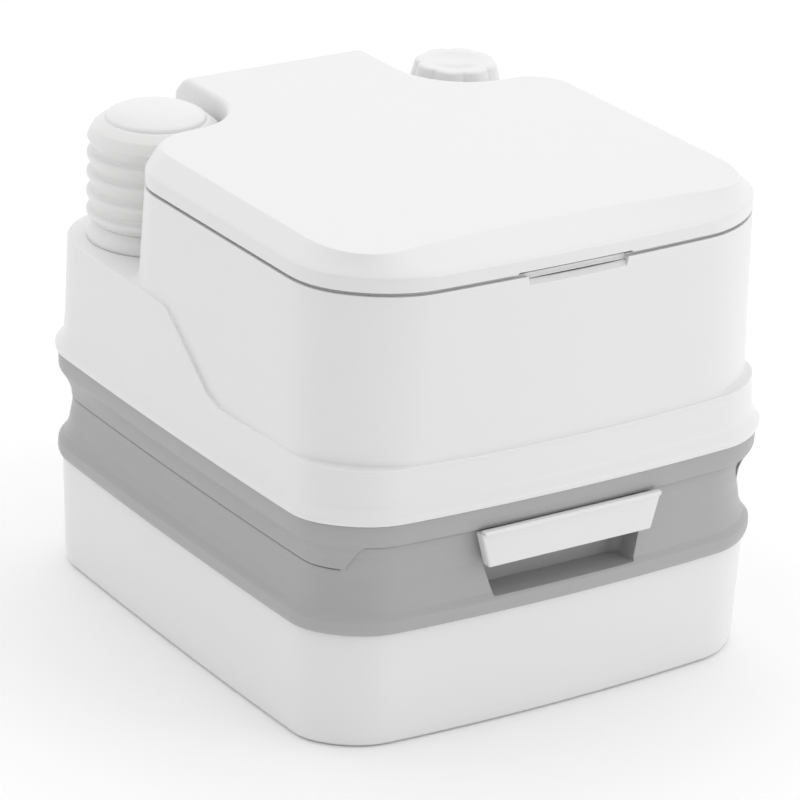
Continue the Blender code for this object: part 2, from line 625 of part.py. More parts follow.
def bowl():
    """Funnel from the oval seat opening down to the round outlet."""
    neck = [Vector((OUTLET[0] + p.x, OUTLET[1] + p.y)) for p in oval(1, 1, 0)]

    def section(share, grow):
        centre = Vector(OUTLET)
        rim = oval(BOWL_W + grow, BOWL_L + grow, BOWL_CENTRE)
        throat = [centre + (p - centre) * (R_OUTLET + grow) for p in neck]
        return [a.lerp(b, share) for a, b in zip(throat, rim)]

    shape = [(0.0, 128.3), (0.0, 146.0), (0.22, 164.0), (0.5, 190.0), (0.76, 222.0), (0.92, 254.0)]
    skin = 2.8
    rings = [(section(share, skin), z) for share, z in shape]
    rings += [(section(1.0, skin), 279.5), (section(1.0, 10.0), 280.6), (section(1.0, 10.0), 283.6)]
    rings += [(section(1.0, 0.0), 283.6)] + [(section(share, 0.0), z) for share, z in reversed(shape)]
    made = loft("bowl", rings, hollow=True)
    cut(made, cylinder("nozzle_bore", 5.4, (0, 268), 40, 90, axis="Y", steps=16, helper=True))


def flush_line():
    """Suction tube, hose and nozzle that carry the water from the tank to the bowl."""
    x, y = PUMP
    tube("suction_tube", [(x, y, 199.5), (x, y, 141.0)], 5.0)
    start = (x + R_PUMP_VALVE + GAP, y, 206)
    route = arc_between(start, (-10, y, 206), (0, y, 240), 8)
    route += arc_between((0, y, 240), (0, y, 268), (0, 84, 268), 6)[1:]
    tube("flush_hose", route, 4.5)
    profile = [(5.0, 0), (5.0, 26), (7.0, 26.4), (7.0, 28.4), (2.4, 28.4), (2.4, 0)][::-1]
    turned("flush_nozzle", profile, (0, 55.0, 268), steps=20, tilt=(-math.pi / 2, 0, 0))


def pump():
    """Bellows pump: valve body, clamp collar, corrugated bellows and press button."""
    centre = (*PUMP, 0)
    deck = Z_PUMP_DECK + GAP
    turned("pump_valve", [(0, 227.6), (28, 227.6), (28, deck), (R_PUMP_VALVE, deck), (R_PUMP_VALVE, 200),
                          (0, 200)], centre, look="grey", steps=24)
    turned("pump_collar", [(39.0, 236.0), (43.2, 229.0), (43.6, deck), (29, deck), (29, 231), (37.5, 231),
                           (37.5, 236.0)], centre, look="white")
    skin = [(0, 299.6), (26.8, 299.6), (28.4, 302.2), (31, 302.2), (39.4, 297.4), (R_BELLOWS, 291.6),
            (R_BELLOWS, 289.6)]
    for ridge in FOLDS:
        skin += [(R_VALLEY, ridge + 3.9), (R_BELLOWS, ridge + 0.9), (R_BELLOWS, ridge - 0.9)]
    skin += [(39.6, 236.6), (37.1, 236.4), (37.1, 231.4), (34.6, 231.4), (34.6, 236.0), (38, 240),
             (38, 290), (36, 295.4), (27, 297.2), (0, 297.2)]
    turned("pump_bellows", skin, centre, steps=32)
    turned("pump_button", [(0, 310.0), (12, 309.6), (22, 308.5), (28.5, 307.0), (31.2, 305.9), (32.5, 304.4),
                           (32.4, 303.4), (31.4, 302.8), (27.9, 302.8), (26.4, 300.0), (0, 300.0)],
           centre, steps=32)


def filler():
    """Lobed screw cap on the filler neck and the gasket inside it."""
    steps = 48
    low = Z_CAP_DECK + 2.5
    bore = oval(R_NECK + 3.4, R_NECK + 3.4, 0, steps)
    rings = [(bore, 294.5), (bore, low), (lobed(33.0, 8, 1.6, steps), low),
             (lobed(29.8, 8, 2.2, steps), 292.0), (lobed(27.6, 8, 2.4, steps), 301.0),
             (lobed(25.4, 8, 2.2, steps), 303.4), (lobed(22.0, 8, 1.4, steps), 304.0)]
    centre = Vector(FILLER)
    rings = [([p + centre for p in plan], z) for plan, z in rings]
    loft("filler_cap", rings, origin=(*FILLER, 290.0))
    ring("filler_gasket", R_NECK - 0.2, R_NECK + 3.0, (*FILLER, 0), 290.0 + GAP, 294.5 - GAP, steps=32)


def seat():
    """Seat ring on four rubber feet, with two arms back to the hinge."""
    low = 289.0

    def plan(inset):
        w, f, r = 154.0 - inset, 174.0 - inset, 62.0 - inset
        corners = [(-w, -f, 56 - inset, ARC)]
        corners += [(x, -f, 0, 0) for x in (-75, -38, 0, 38, 75)]
        corners += [(w, -f, 56 - inset, ARC), (w, r, 30 - inset, 5), (-w, r, 30 - inset, 5)]
        return bowed(rounded(corners), w, f, 600, DECK_BOW, 0, 0)

    made = loft("seat", [(plan(0.6), low), (plan(0), low + 0.6), (plan(0), 292.2), (plan(4.5), 296.0),
                         (plan(13.0), 299.0)], origin=(0, *HINGE))
    for side in (-1, 1):
        span = sorted((side * 50.2, side * 57.8))
        weld(made, box("seat_arm", span, (40, HINGE[0]), (low, 295.0), helper=True))
        weld(made, cylinder("seat_barrel", R_BARREL, HINGE, *span, axis="X", steps=16, helper=True))
    hole = [(oval(89, 109, BOWL_CENTRE), 280), (oval(89, 109, BOWL_CENTRE), 293.5),
            (oval(91, 111, BOWL_CENTRE), 297), (oval(96, 116, BOWL_CENTRE), 301)]
    cut(made, loft("seat_hole", hole, helper=True))
    cut(made, cylinder("seat_bore", R_PIN + 0.35, HINGE, -80, 80, axis="X", steps=16, helper=True))
    for k, (x, y) in enumerate(((-122, -135), (122, -135), (-122, 35), (122, 35))):
        cut(made, cylinder("foot_bore", 2.4, (x, y), 280, 294, steps=12, helper=True))
        profile = [(0, 293.5), (2.0, 293.5), (2.0, low - GAP), (6, low - GAP), (6, Z_DECK + GAP),
                   (0, Z_DECK + GAP)]
        turned(f"seat_foot_{k + 1}", profile, (x, y, 0), look="rubber", steps=16)


def lid():
    """Inverted tray over the seat, with a tongue that runs back to the hinge."""
    side, front, radius, bow = CREASE
    skin = WALL
    inner, crease = TONGUE_REAR - skin, TONGUE_REAR - TONGUE_SLOPE
    under = [
        (deck_plan(side + 2.7, front + 2.7, skin, skin, crease - 1.5, radius - 2, bow), Z_TOP - skin),
        (deck_plan(skin, skin, skin, skin, inner, DECK_R - skin, DECK_BOW), Z_LID_EDGE - 2.9),
        (deck_plan(skin, skin, skin, skin, inner, DECK_R - skin, DECK_BOW), Z_LID)]
    over = [
        (deck_plan(0, 0, 0, 0, TONGUE_REAR, DECK_R, DECK_BOW), Z_LID),
        (deck_plan(0, 0, 0, 0, TONGUE_REAR, DECK_R, DECK_BOW), Z_LID_EDGE),
        (deck_plan(side, front, 0.8, 0.8, crease, radius, bow), Z_TOP - 0.4),
        (deck_plan(side + 7, front + 7, 7, 7, crease - 7, radius - 7, bow), Z_TOP)]
    made = loft("lid", under + over, origin=(0, *HINGE))
    y, z = HINGE
    strap = [(y - 17, z + 14.5), (y - 17, z + 3), (y - 3, z - 3), (y + 3.5, z + 3.2), (y + 2, z + 6.4),
             (y - 4, z + 14)]
    for side_sign in (-1, 1):
        for low, high in ((29.3, 38.7), (57.7, 63.9)):
            span = sorted((side_sign * low, side_sign * high))
            cut(made, box("lug_notch", span, (y + 2, y + 30), (280, 302), helper=True))
        span = sorted((side_sign * 39.2, side_sign * 48.8))
        weld(made, prism("lid_strap", strap, "X", *span, helper=True))
        weld(made, cylinder("lid_barrel", R_BARREL, HINGE, *span, axis="X", steps=16, helper=True))
    cut(made, cylinder("lid_bore", R_PIN + 0.35, HINGE, -50, 50, axis="X", steps=16, helper=True))
    notch = [(-200, 280), (-179, 280), (-179, 289.8), (-200, 290.8)]
    cut(made, prism("lid_notch", notch, "X", -40, 40, helper=True))
    for k, x in enumerate((-110, 110)):
        turned(f"lid_foot_{k + 1}", [(0, Z_TOP - skin - GAP), (5, Z_TOP - skin - GAP), (4.4, 299.0 + GAP),
                                     (0, 299.0 + GAP)], (x, -125, 0), look="rubber", steps=16)
    for name, low in (("hinge_pin_left", -63.4), ("hinge_pin_right", 29.2)):
        cylinder(name, R_PIN, HINGE, low, low + 34.2, axis="X", steps=16, look="steel", origin=(0, *HINGE))


def main():
    start()
    waste_tank_base()
    waste_tank_top()
    valve()
    valve_handle()
    pour_spout()
    spout_ring()
    vent()
    base_tray()
    release_latch()
    upper_tank()
    bowl()
    flush_line()
    pump()
    filler()
    seat()
    lid()


main()
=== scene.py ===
"""Looks of the portable camp toilet: fine shells, moulded details and materials.

Lengths are in millimetres in the part's own frame, with Y measured from a line that
the seat's hinge fixes; place() turns them into the frame's metres.
"""
import json
import math

import bmesh
import bpy
import numpy as np
from mathutils import Matrix, Vector


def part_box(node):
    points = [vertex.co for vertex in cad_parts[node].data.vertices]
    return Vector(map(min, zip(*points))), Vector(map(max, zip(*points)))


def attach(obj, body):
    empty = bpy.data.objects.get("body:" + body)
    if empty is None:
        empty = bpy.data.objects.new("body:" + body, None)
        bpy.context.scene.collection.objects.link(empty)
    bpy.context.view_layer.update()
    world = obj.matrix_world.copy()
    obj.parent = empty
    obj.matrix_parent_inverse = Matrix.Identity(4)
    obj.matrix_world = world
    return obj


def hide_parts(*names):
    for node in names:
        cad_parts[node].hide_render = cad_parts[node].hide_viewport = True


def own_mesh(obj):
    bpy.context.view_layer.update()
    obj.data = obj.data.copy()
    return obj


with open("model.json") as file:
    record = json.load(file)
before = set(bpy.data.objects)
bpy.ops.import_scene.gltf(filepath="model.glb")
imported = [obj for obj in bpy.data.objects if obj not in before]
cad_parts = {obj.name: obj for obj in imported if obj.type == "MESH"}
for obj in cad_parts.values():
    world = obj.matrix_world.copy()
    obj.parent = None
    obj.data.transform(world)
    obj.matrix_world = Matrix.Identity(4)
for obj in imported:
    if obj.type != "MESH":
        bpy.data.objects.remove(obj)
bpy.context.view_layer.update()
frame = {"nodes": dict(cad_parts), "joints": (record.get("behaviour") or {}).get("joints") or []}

MM = 0.001
JOINTS = {joint["name"]: joint for joint in frame["joints"]}


def node_box(node):
    """Low and high corner of a CAD node in millimetres, Y from the shells' middle line."""
    return [Vector(corner) / MM - Vector((0, SHIFT_Y, 0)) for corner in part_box(node)]


# The hinge line lies 161.5 mm behind the shells' middle line
HINGE_Y = 161.5
SHIFT_Y = JOINTS["seat_hinge"]["pos_m"][1] / MM - HINGE_Y
HINGE_Z = JOINTS["seat_hinge"]["pos_m"][2] / MM

TANK_LOW = node_box("upper_tank")[0]
LID_HIGH = node_box("lid")[1]
TRAY_LOW, TRAY_HIGH = node_box("base_tray")
TOP_LOW, TOP_HIGH = node_box("waste_tank_top")
PULL_LOW, PULL_HIGH = node_box("valve_handle")
PUMP = (node_box("pump_button")[0] + node_box("pump_button")[1]) / 2
BUTTON_TOP = node_box("pump_button")[1].z
FILLER = (node_box("filler_cap")[0] + node_box("filler_cap")[1]) / 2
CAP_LOW, CAP_HIGH = node_box("filler_cap")

# Plan of the tanks at their widest
HALF_W = 171.0
FRONT = 191.4
REAR = 186.0
R_FRONT = 52.0
R_REAR = 58.0
BOW_FRONT = 9.0
BOW_REAR = 5.0
SIDE_BOW = 4.0
BEAD = 2.5                  # how far the grey rim stands back from the widest plan
NECK = 2.6                  # how much narrower each side is at the grey waist

# Levels
Z_RIM = TOP_LOW.z
Z_SHOULDER = 114.5
Z_HUMP = TOP_HIGH.z
Z_SKIRT = TRAY_LOW.z
Z_APRON = 132.9
Z_PLATE = 133.0
Z_TRAY_TOP = TRAY_HIGH.z
Z_FLANGE = TANK_LOW.z
Z_LEDGE = 178.0
Z_PUMP_DECK = 224.5
Z_CAP_DECK = 266.0
Z_RECESS = 280.0            # floor of the recess in which the hinge stands
Z_BLEND = 152.0             # where the deck block's walls have their bottom plan
Z_DECK = 287.0
Z_LID = 288.4
Z_LID_EDGE = 297.3
Z_TOP = LID_HIGH.z

# Plan of the seat deck and lid
DECK_W = 161.6
DECK_FRONT = 182.9
DECK_R = 64.0
DECK_BOW = 6.0
HEEL = 42.0                 # corner radius beside the pump, at the top and low down
HEEL_LOW = 27.0
TONGUE_LEFT = -66.4
TONGUE_RIGHT = 68.0
TONGUE_REAR = 172.0
TONGUE_SLOPE = 11.0         # how far the tongue's rear leans forwards up to its crease
DECK_REAR = 177.5
PUMP_NOTCH = (75.0, 44.0)
CAP_NOTCH = (69.0, 48.0)

# Finger recess behind the pull handle: its ends spread upwards
Z_SCOOP = 86.5
Z_SCOOP_TOP = 107.0
SCOOP_W = 51.2
SCOOP_TOP_W = 57.5
SCOOP_SPREAD = 0.307
SCOOP_BACK = -166

VENT = (76, 101)            # across and up, on the rear wall
SPOUT = (-78, 148)          # where the pour-out spout swivels
FOLDS = (279.2, 266.6, 254.0, 241.7)
R_PIN_BORE = 2.75
R_BARREL = 5.6

OUTLET = np.array((0.0, -20.0))
R_OUTLET = 44.0
BOWL_CENTRE = -50.0
BOWL_W = 98.0
BOWL_L = 116.0

ARC = 14                    # steps round a shell's corner
ROUND = 96                  # steps round a turned piece


# ---------------------------------------------------------------- outlines

def smooth(t):
    t = np.clip(t, 0.0, 1.0)
    return t * t * (3 - 2 * t)


def rounded(corners, closed=True, fill=0):
    """Points along a polygon or polyline whose corners (u, v, radius, steps) are rounded.

    fill is the number of extra points on each straight stretch.
    """
    spots = [np.array(c[:2], float) for c in corners]
    count = len(corners)
    runs = []
    for i, (_, _, radius, steps) in enumerate(corners):
        here = spots[i]
        if radius <= 0 or (not closed and i in (0, count - 1)):
            runs.append([here])
            continue
        before = spots[i - 1] - here
        after = spots[(i + 1) % count] - here
        before /= np.linalg.norm(before)
        after /= np.linalg.norm(after)
        half = math.acos(np.clip(before @ after, -1, 1)) / 2
        if half > math.pi / 2 - 1e-3:
            runs.append([here] * (steps + 1))
            continue
        middle = (before + after) / np.linalg.norm(before + after)
        centre = here + middle * (radius / math.sin(half))
        first = here + before * (radius / math.tan(half)) - centre
        last = here + after * (radius / math.tan(half)) - centre
        angle = math.atan2(first[1], first[0])
        sweep = (math.atan2(last[1], last[0]) - angle + math.pi) % (2 * math.pi) - math.pi
        turns = [angle + sweep * k / steps for k in range(steps + 1)]
        runs.append([centre + radius * np.array((math.cos(a), math.sin(a))) for a in turns])
    points = []
    for i, run in enumerate(runs):
        points += run
        if fill and (closed or i < count - 1):
            far = runs[(i + 1) % count][0]
            points += [run[-1] + (far - run[-1]) * k / (fill + 1) for k in range(1, fill + 1)]
    return np.array(points)


def bowed(points, half_w, front, rear, bow_front, bow_rear, side):
    """Bulge the front, rear and sides of a plan outline."""
    x, y = points.T
    across = (x / half_w) ** 2
    near_front = smooth((-y - front + R_FRONT) / R_FRONT)
    near_rear = smooth((y - rear + R_REAR) / R_REAR)
    pinch = side * (x / half_w) ** 3 * (y / FRONT) ** 2
    return np.stack([x - pinch, y + bow_front * across * near_front - bow_rear * across * near_rear], 1)


def tank_plan(inset, narrow=0.0):
    """Rounded rectangle of the tanks, moved inwards by inset, its sides by narrow more."""
    w, f, r = HALF_W - inset - narrow, FRONT - inset, REAR - inset
    corners = [(-w, -f, R_FRONT - inset, ARC), (w, -f, R_FRONT - inset, ARC),
               (w, r, R_REAR - inset, ARC), (-w, r, R_REAR - inset, ARC)]
    return bowed(rounded(corners, fill=20), w, f, r, BOW_FRONT, BOW_REAR, SIDE_BOW)


def deck_plan(side=0.0, front=0.0, back=0.0, tongue=0.0, rear=TONGUE_REAR, radius=DECK_R, bow=DECK_BOW,
              heel=HEEL):
    """Plan of the seat deck and lid: a broad front and a tongue between two notches."""
    w, f = DECK_W - side, DECK_FRONT - front
    left, right = TONGUE_LEFT + tongue, TONGUE_RIGHT - tongue
    cap_y, cap_r = CAP_NOTCH
    pump_y, pump_r = PUMP_NOTCH
    corners = [(-w, -f, radius, ARC), (w, -f, radius, ARC), (w, cap_y - back, 32 - side / 2, 10),
               (right, cap_y - back, cap_r + back, ARC), (right, rear, 3.5, 6),
               (left, rear, 3.5, 6), (left, pump_y - back, pump_r + back, ARC),
               (-w, pump_y - back, heel - side / 2, 10)]
    return bowed(rounded(corners, fill=16), w, f, rear + 400, bow, 0.0, 0.0)


def oval(half_w, half_l, centre=(0, 0), steps=ROUND):
    turn = np.arange(steps) * (2 * math.pi / steps)
    return np.stack([centre[0] + half_w * np.cos(turn), centre[1] + half_l * np.sin(turn)], 1)


def outwards(points, distance):
    """A plan outline moved outwards along its own normals, by a number or one per point."""
    along = np.roll(points, -1, 0) - np.roll(points, 1, 0)
    along /= np.linalg.norm(along, axis=1)[:, None] + 1e-9
    normal = np.stack([along[:, 1], -along[:, 0]], 1)
    return points + normal * np.reshape(distance, (-1, 1))


def level(points, z):
    return np.column_stack([points, np.broadcast_to(z, len(points))])


# ---------------------------------------------------------------- meshes

def new_object(name, verts, faces):
    mesh = bpy.data.meshes.new(name)
    mesh.from_pydata([tuple(v) for v in verts], [], [tuple(int(i) for i in f) for f in faces])
    mesh.update()
    bm = bmesh.new()
    bm.from_mesh(mesh)
    bmesh.ops.recalc_face_normals(bm, faces=bm.faces)
    bm.to_mesh(mesh)
    bm.free()
    made = bpy.data.objects.new(name, mesh)
    bpy.context.scene.collection.objects.link(made)
    return made


def loft(name, rings, ring_shaped=False):
    """Closed body through rings of points; capped, or with its last ring joined to its first."""
    rings = [np.asarray(ring, float) for ring in rings]
    count = len(rings[0])
    faces = []
    pairs = len(rings) if ring_shaped else len(rings) - 1
    for i in range(pairs):
        a, b = i * count, (i + 1) % len(rings) * count
        faces += [(a + k, a + (k + 1) % count, b + (k + 1) % count, b + k) for k in range(count)]
    if not ring_shaped:
        faces.append(range(count))
        faces.append(range((len(rings) - 1) * count, len(rings) * count))
    return new_object(name, np.concatenate(rings), faces)


def shell(name, plan, chain, ring_shaped=False):
    """Loft through plan(inset) at each (inset, z) of a rounded chain."""
    return loft(name, [level(plan(inset), z) for inset, z in chain], ring_shaped)


def waisted(name, chain):
    """Loft of the tanks' plan that is narrower at the grey waist, open chain of (inset, z)."""
    rings = []
    for inset, z in chain:
        share = smooth((z - 86) / 10) * (1 - smooth((z - 122) / 12))
        rings.append(level(tank_plan(inset, NECK * share), z))
    return loft(name, rings)


def prism(name, outline, axis, low, high):
    u, v = np.asarray(outline, float).T
    order = {"X": (2, 0, 1), "Y": (0, 2, 1), "Z": (0, 1, 2)}[axis]
    ends = [np.stack([u, v, np.full_like(u, w)], 1)[:, order] for w in (low, high)]
    return loft(name, ends)


def block(name, x, y, z, radius=0.0, steps=4):
    """Box whose upright edges are rounded."""
    corners = [(x[0], y[0], radius, steps), (x[1], y[0], radius, steps),
               (x[1], y[1], radius, steps), (x[0], y[1], radius, steps)]
    return prism(name, rounded(corners), "Z", *z)


def rod(name, radius, centre, low, high, axis="Z", steps=40):
    return prism(name, oval(radius, radius, centre, steps), axis, low, high)


def turned(name, profile, centre, steps=ROUND, direction=(0, 0, 1)):
    """Solid of revolution of a profile (radius, height) that starts and ends on its axis or is closed."""
    turn = np.arange(steps) * (2 * math.pi / steps)
    rings = [np.stack([r * np.cos(turn), r * np.sin(turn), np.full(steps, z)], 1)
             for r, z in profile if r > 1e-6]
    on_axis = profile[0][0] <= 1e-6
    made = loft(name, rings, ring_shaped=not on_axis)
    tilt = Vector((0, 0, 1)).rotation_difference(Vector(direction)).to_matrix().to_4x4()
    made.data.transform(Matrix.Translation(Vector(centre)) @ tilt)
    return made


def merged(target, tools, operation):
    """Apply Booleans one after the other and drop the tools."""
    for tool in tools:
        before = target.data
        for solver in ("MANIFOLD", "EXACT"):
            step = target.modifiers.new(operation, "BOOLEAN")
            step.operation, step.object, step.solver = operation, tool, solver
            graph = bpy.context.evaluated_depsgraph_get()
            made = bpy.data.meshes.new_from_object(target.evaluated_get(graph))
            target.modifiers.clear()
            changed = len(made.vertices) not in (0, len(before.vertices))
            if changed:
                break
        target.data = made
        bpy.data.objects.remove(tool)
    return target


def cut(target, *tools):
    return merged(target, tools, "DIFFERENCE")


def weld(target, *tools):
    return merged(target, tools, "UNION")


def keep_inside(target, *tools):
    return merged(target, tools, "INTERSECT")


def place(made, look, body, replaces=(), sharp=34):
    """Move a piece from millimetres into the frame, shade it and let it ride on its body."""
    made.data.transform(Matrix.Scale(MM, 4) @ Matrix.Translation((0, SHIFT_Y, 0)))
    bm = bmesh.new()
    bm.from_mesh(made.data)
    bmesh.ops.remove_doubles(bm, verts=bm.verts, dist=0.000002)
    bmesh.ops.dissolve_degenerate(bm, edges=bm.edges, dist=0.000002)
    bm.to_mesh(made.data)
    bm.free()
    made.data.shade_smooth()
    made.data.set_sharp_from_angle(angle=math.radians(sharp))
    made.data.materials.clear()
    made.data.materials.append(look)
    if replaces:
        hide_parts(*replaces)
    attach(made, body)
    return made


# ---------------------------------------------------------------- materials

def nodes_of(name):
    made = bpy.data.materials.new(name)
    made.use_nodes = True
    tree = made.node_tree
    return made, tree.nodes, tree.links, tree.nodes["Principled BSDF"]


def plastic(name, colour, roughness, grain=0.05, rim=0.6, tint=0.03, translucent=0.0, edge=1.08):
    """Moulded plastic: faint mottling, uneven gloss, spark-eroded grain, softened edges and a painted
    highlight that lightens the colour along edges.
    """
    made, nodes, links, shader = nodes_of(name)
    where = nodes.new("ShaderNodeTexCoord")

    def noise(scale, detail=3.0):
        made_noise = nodes.new("ShaderNodeTexNoise")
        made_noise.inputs["Scale"].default_value = scale
        made_noise.inputs["Detail"].default_value = detail
        links.new(where.outputs["Object"], made_noise.inputs["Vector"])
        return made_noise

    mottle, gloss, fine, wave = noise(9.0), noise(34.0, 5.0), noise(2600.0, 2.0), noise(16.0, 1.0)
    soft_edge = nodes.new("ShaderNodeBevel")
    soft_edge.samples = 6
    soft_edge.inputs["Radius"].default_value = rim * MM
    bare = nodes.new("ShaderNodeNewGeometry")
    turn = nodes.new("ShaderNodeVectorMath")
    turn.operation = "DOT_PRODUCT"
    links.new(soft_edge.outputs["Normal"], turn.inputs[0])
    links.new(bare.outputs["Normal"], turn.inputs[1])
    # Painted highlight mask: high along edges, where the rounded-edge normal turns away from the surface's
    # own normal.
    edge_highlight_mask = nodes.new("ShaderNodeMapRange")
    edge_highlight_mask.inputs["From Min"].default_value = 0.998
    edge_highlight_mask.inputs["From Max"].default_value = 0.95
    links.new(turn.outputs["Value"], edge_highlight_mask.inputs["Value"])

    shades = nodes.new("ShaderNodeMix")
    shades.data_type = "RGBA"
    shades.inputs["A"].default_value = (*[c * (1 - tint) for c in colour], 1)
    shades.inputs["B"].default_value = (*[min(c * (1 + tint), 1) for c in colour], 1)
    links.new(mottle.outputs["Fac"], shades.inputs["Factor"])
    # Painted highlight: the colour is lightened by the factor edge along edges, in place of the light caught
    # on their rounding.
    edges = nodes.new("ShaderNodeMix")
    edges.data_type = "RGBA"
    edges.inputs["B"].default_value = (*[min(c * edge, 0.98) for c in colour], 1)
    links.new(edge_highlight_mask.outputs["Result"], edges.inputs["Factor"])
    links.new(shades.outputs["Result"], edges.inputs["A"])
    links.new(edges.outputs["Result"], shader.inputs["Base Color"])

    uneven = nodes.new("ShaderNodeMapRange")
    uneven.inputs["To Min"].default_value = roughness - 0.05
    uneven.inputs["To Max"].default_value = roughness + 0.07
    links.new(gloss.outputs["Fac"], uneven.inputs["Value"])
    links.new(uneven.outputs["Result"], shader.inputs["Roughness"])

    swell = nodes.new("ShaderNodeBump")
    swell.inputs["Strength"].default_value = 0.12
    swell.inputs["Distance"].default_value = 0.4 * MM
    links.new(wave.outputs["Fac"], swell.inputs["Height"])
    links.new(soft_edge.outputs["Normal"], swell.inputs["Normal"])
    skin = nodes.new("ShaderNodeBump")
    skin.inputs["Strength"].default_value = grain
    skin.inputs["Distance"].default_value = 0.15 * MM
    links.new(fine.outputs["Fac"], skin.inputs["Height"])
    links.new(swell.outputs["Normal"], skin.inputs["Normal"])
    links.new(skin.outputs["Normal"], shader.inputs["Normal"])
    shader.inputs["IOR"].default_value = 1.49
    shader.inputs["Transmission Weight"].default_value = translucent
    return made


def brushed_steel(name):
    made, nodes, links, shader = nodes_of(name)
    where = nodes.new("ShaderNodeTexCoord")
    stretch = nodes.new("ShaderNodeMapping")
    stretch.inputs["Scale"].default_value = (60.0, 2400.0, 2400.0)
    lines = nodes.new("ShaderNodeTexNoise")
    lines.inputs["Scale"].default_value = 1.0
    links.new(where.outputs["Object"], stretch.inputs["Vector"])
    links.new(stretch.outputs["Vector"], lines.inputs["Vector"])
    rough = nodes.new("ShaderNodeMapRange")
    rough.inputs["To Min"].default_value = 0.22
    rough.inputs["To Max"].default_value = 0.4
    links.new(lines.outputs["Fac"], rough.inputs["Value"])
    links.new(rough.outputs["Result"], shader.inputs["Roughness"])
    shader.inputs["Base Color"].default_value = (0.62, 0.62, 0.64, 1)
    shader.inputs["Metallic"].default_value = 1.0
    return made


# The edge factor of each plastic sets how much lighter its painted edge highlight is.
WHITE = plastic("white_plastic", (0.80, 0.80, 0.80), 0.30, grain=0.03, rim=0.9, tint=0.006, edge=1.2)
BOWL_WHITE = plastic("bowl_plastic", (0.82, 0.82, 0.81), 0.18, grain=0.01, rim=0.8, tint=0.005)
SOFT_WHITE = plastic("bellows_plastic", (0.79, 0.79, 0.785), 0.38, grain=0.05, rim=0.5, tint=0.01)
GREY = plastic("grey_plastic", (0.405, 0.405, 0.41), 0.42, grain=0.08, rim=0.7, tint=0.02)
DARK_GREY = plastic("grey_fitting", (0.30, 0.30, 0.31), 0.40, grain=0.08, rim=0.4, tint=0.03)
CLEAR = plastic("natural_plastic", (0.72, 0.75, 0.76), 0.30, grain=0.04, rim=0.3, tint=0.02, translucent=0.35)
RUBBER = plastic("black_rubber", (0.035, 0.035, 0.037), 0.62, grain=0.25, rim=0.3, tint=0.15)
STEEL = brushed_steel("stainless_steel")


# ---------------------------------------------------------------- waste tank

def waste_tank_base():
    """White lower shell: tapered walls, a softly rounded foot and a seam lip at the top."""
    inner = rounded([(24, 3.2, 0, 0), (11.2, 3.2, 6, 5), (8.7, Z_RIM - 0.4, 0, 0)], closed=False)
    outer = rounded([(8.7, Z_RIM - 0.4, 0, 0), (5.6, Z_RIM - 0.4, 0.9, 3), (7.6, 8, 30, 3),
                     (9.0, 0, 4.0, 8), (30, 0, 0, 0)], closed=False)
    made = shell("base_shell", tank_plan, np.concatenate([inner[:-1], outer]))
    place(made, WHITE, "waste_tank", ["waste_tank_base"])


def apron_ends(slack, low):
    """Front view of the opening in the skirt that the waste tank's raised front fills."""
    top, side = Z_APRON - 3 * slack, 139.0 - slack
    return rounded([(-side - 11, low, 0, 0), (side + 11, low, 0, 0),
                    (side, top, 2.0, 4), (-side, top, 2.0, 4)])


def waste_tank_top():
    chain = rounded([
        (24, Z_SHOULDER - 3, 0, 0), (12, Z_SHOULDER - 3, 2, 3), (9.4, 94, 4, 2), (9.0, Z_RIM, 0.5, 2),
        (BEAD + 0.9, Z_RIM, 0.8, 3), (BEAD - 0.1, 79.6, 2.5, 5), (BEAD + 0.2, 84.8, 1.3, 5),
        (5.8, 88.8, 2.6, 6), (6.8, 95, 10, 5), (9.0, 109, 8, 4), (9.0, Z_SHOULDER, 1.0, 3),
        (24, Z_SHOULDER, 0, 0)], closed=False)
    top = waisted("tank_shell", chain)
    hump = waisted("hump", rounded([
        (9.4, 104, 0, 0), (9.0, 110, 6, 2), (8.6, 122, 20, 3), (7.0, Z_HUMP, 1.2, 4), (20, Z_HUMP, 0, 0)],
        closed=False))
    keep_inside(hump, prism("hump_ends", apron_ends(0.35, 104), "Y", -250, -150))
    liner = waisted("handle_liner", [(4.5, 80.5), (6.0, 85.0), (7.2, 91.0), (8.8, 97.0), (10.2, 108.0),
                                     (10.2, 113.0)])
    keep_inside(liner, block("liner_block", (-62, 62), (-250, -158), (70, 120)))
    weld(top, hump, liner,
         block("spout_liner", (-112, 44), (114, 173), (78, 113), 4),
         rod("vent_boss", 11.6, VENT, 154, 175, "Y"))
    cut(top, handle_scoop())
    cut(top, block("blade_slot", (-52.5, 52.5), (-176, -140), (116.6, 122.2)),
        rod("waste_inlet", R_OUTLET + 1, OUTLET, 100, 130, steps=ROUND),
        block("spout_pocket", (-108, 40), (118, 230), (82, 150), 6, 6),
        rod("spout_bore", 16, SPOUT, 70, 100), rod("vent_bore", 7.5, VENT, 158, 220, "Y"),
        rod("vent_stem_bore", 3.2, VENT, 140, 220, "Y", 20))
    place(top, GREY, "waste_tank", ["waste_tank_top"])


def handle_scoop():
    """Space for the fingers: a front view cut through, within a column that rounds its rear corners."""
    low, high, low_w = Z_SCOOP, Z_SCOOP_TOP, SCOOP_W
    high_w = low_w + (high - low) * SCOOP_SPREAD
    front_view = rounded([(-low_w, low, 1.0, 4), (low_w, low, 1.0, 4), (high_w, high, 0, 0),
                          (high_w, 129, 2, 3), (-high_w, 129, 2, 3), (-high_w, high, 0, 0)])
    scoop = prism("handle_scoop", front_view, "Y", -206, SCOOP_BACK)
    column = []
    for z, half in ((70, 46.3), (Z_SCOOP, SCOOP_W), (Z_SCOOP_TOP, SCOOP_TOP_W), (140, SCOOP_TOP_W)):
        corners = [(-half, -230, 0, 0), (half, -230, 0, 0), (half, SCOOP_BACK, 6.0, 10),
                   (-half, SCOOP_BACK, 6.0, 10)]
        column.append(level(rounded(corners), z))
    return keep_inside(scoop, loft("recess_plan", column))


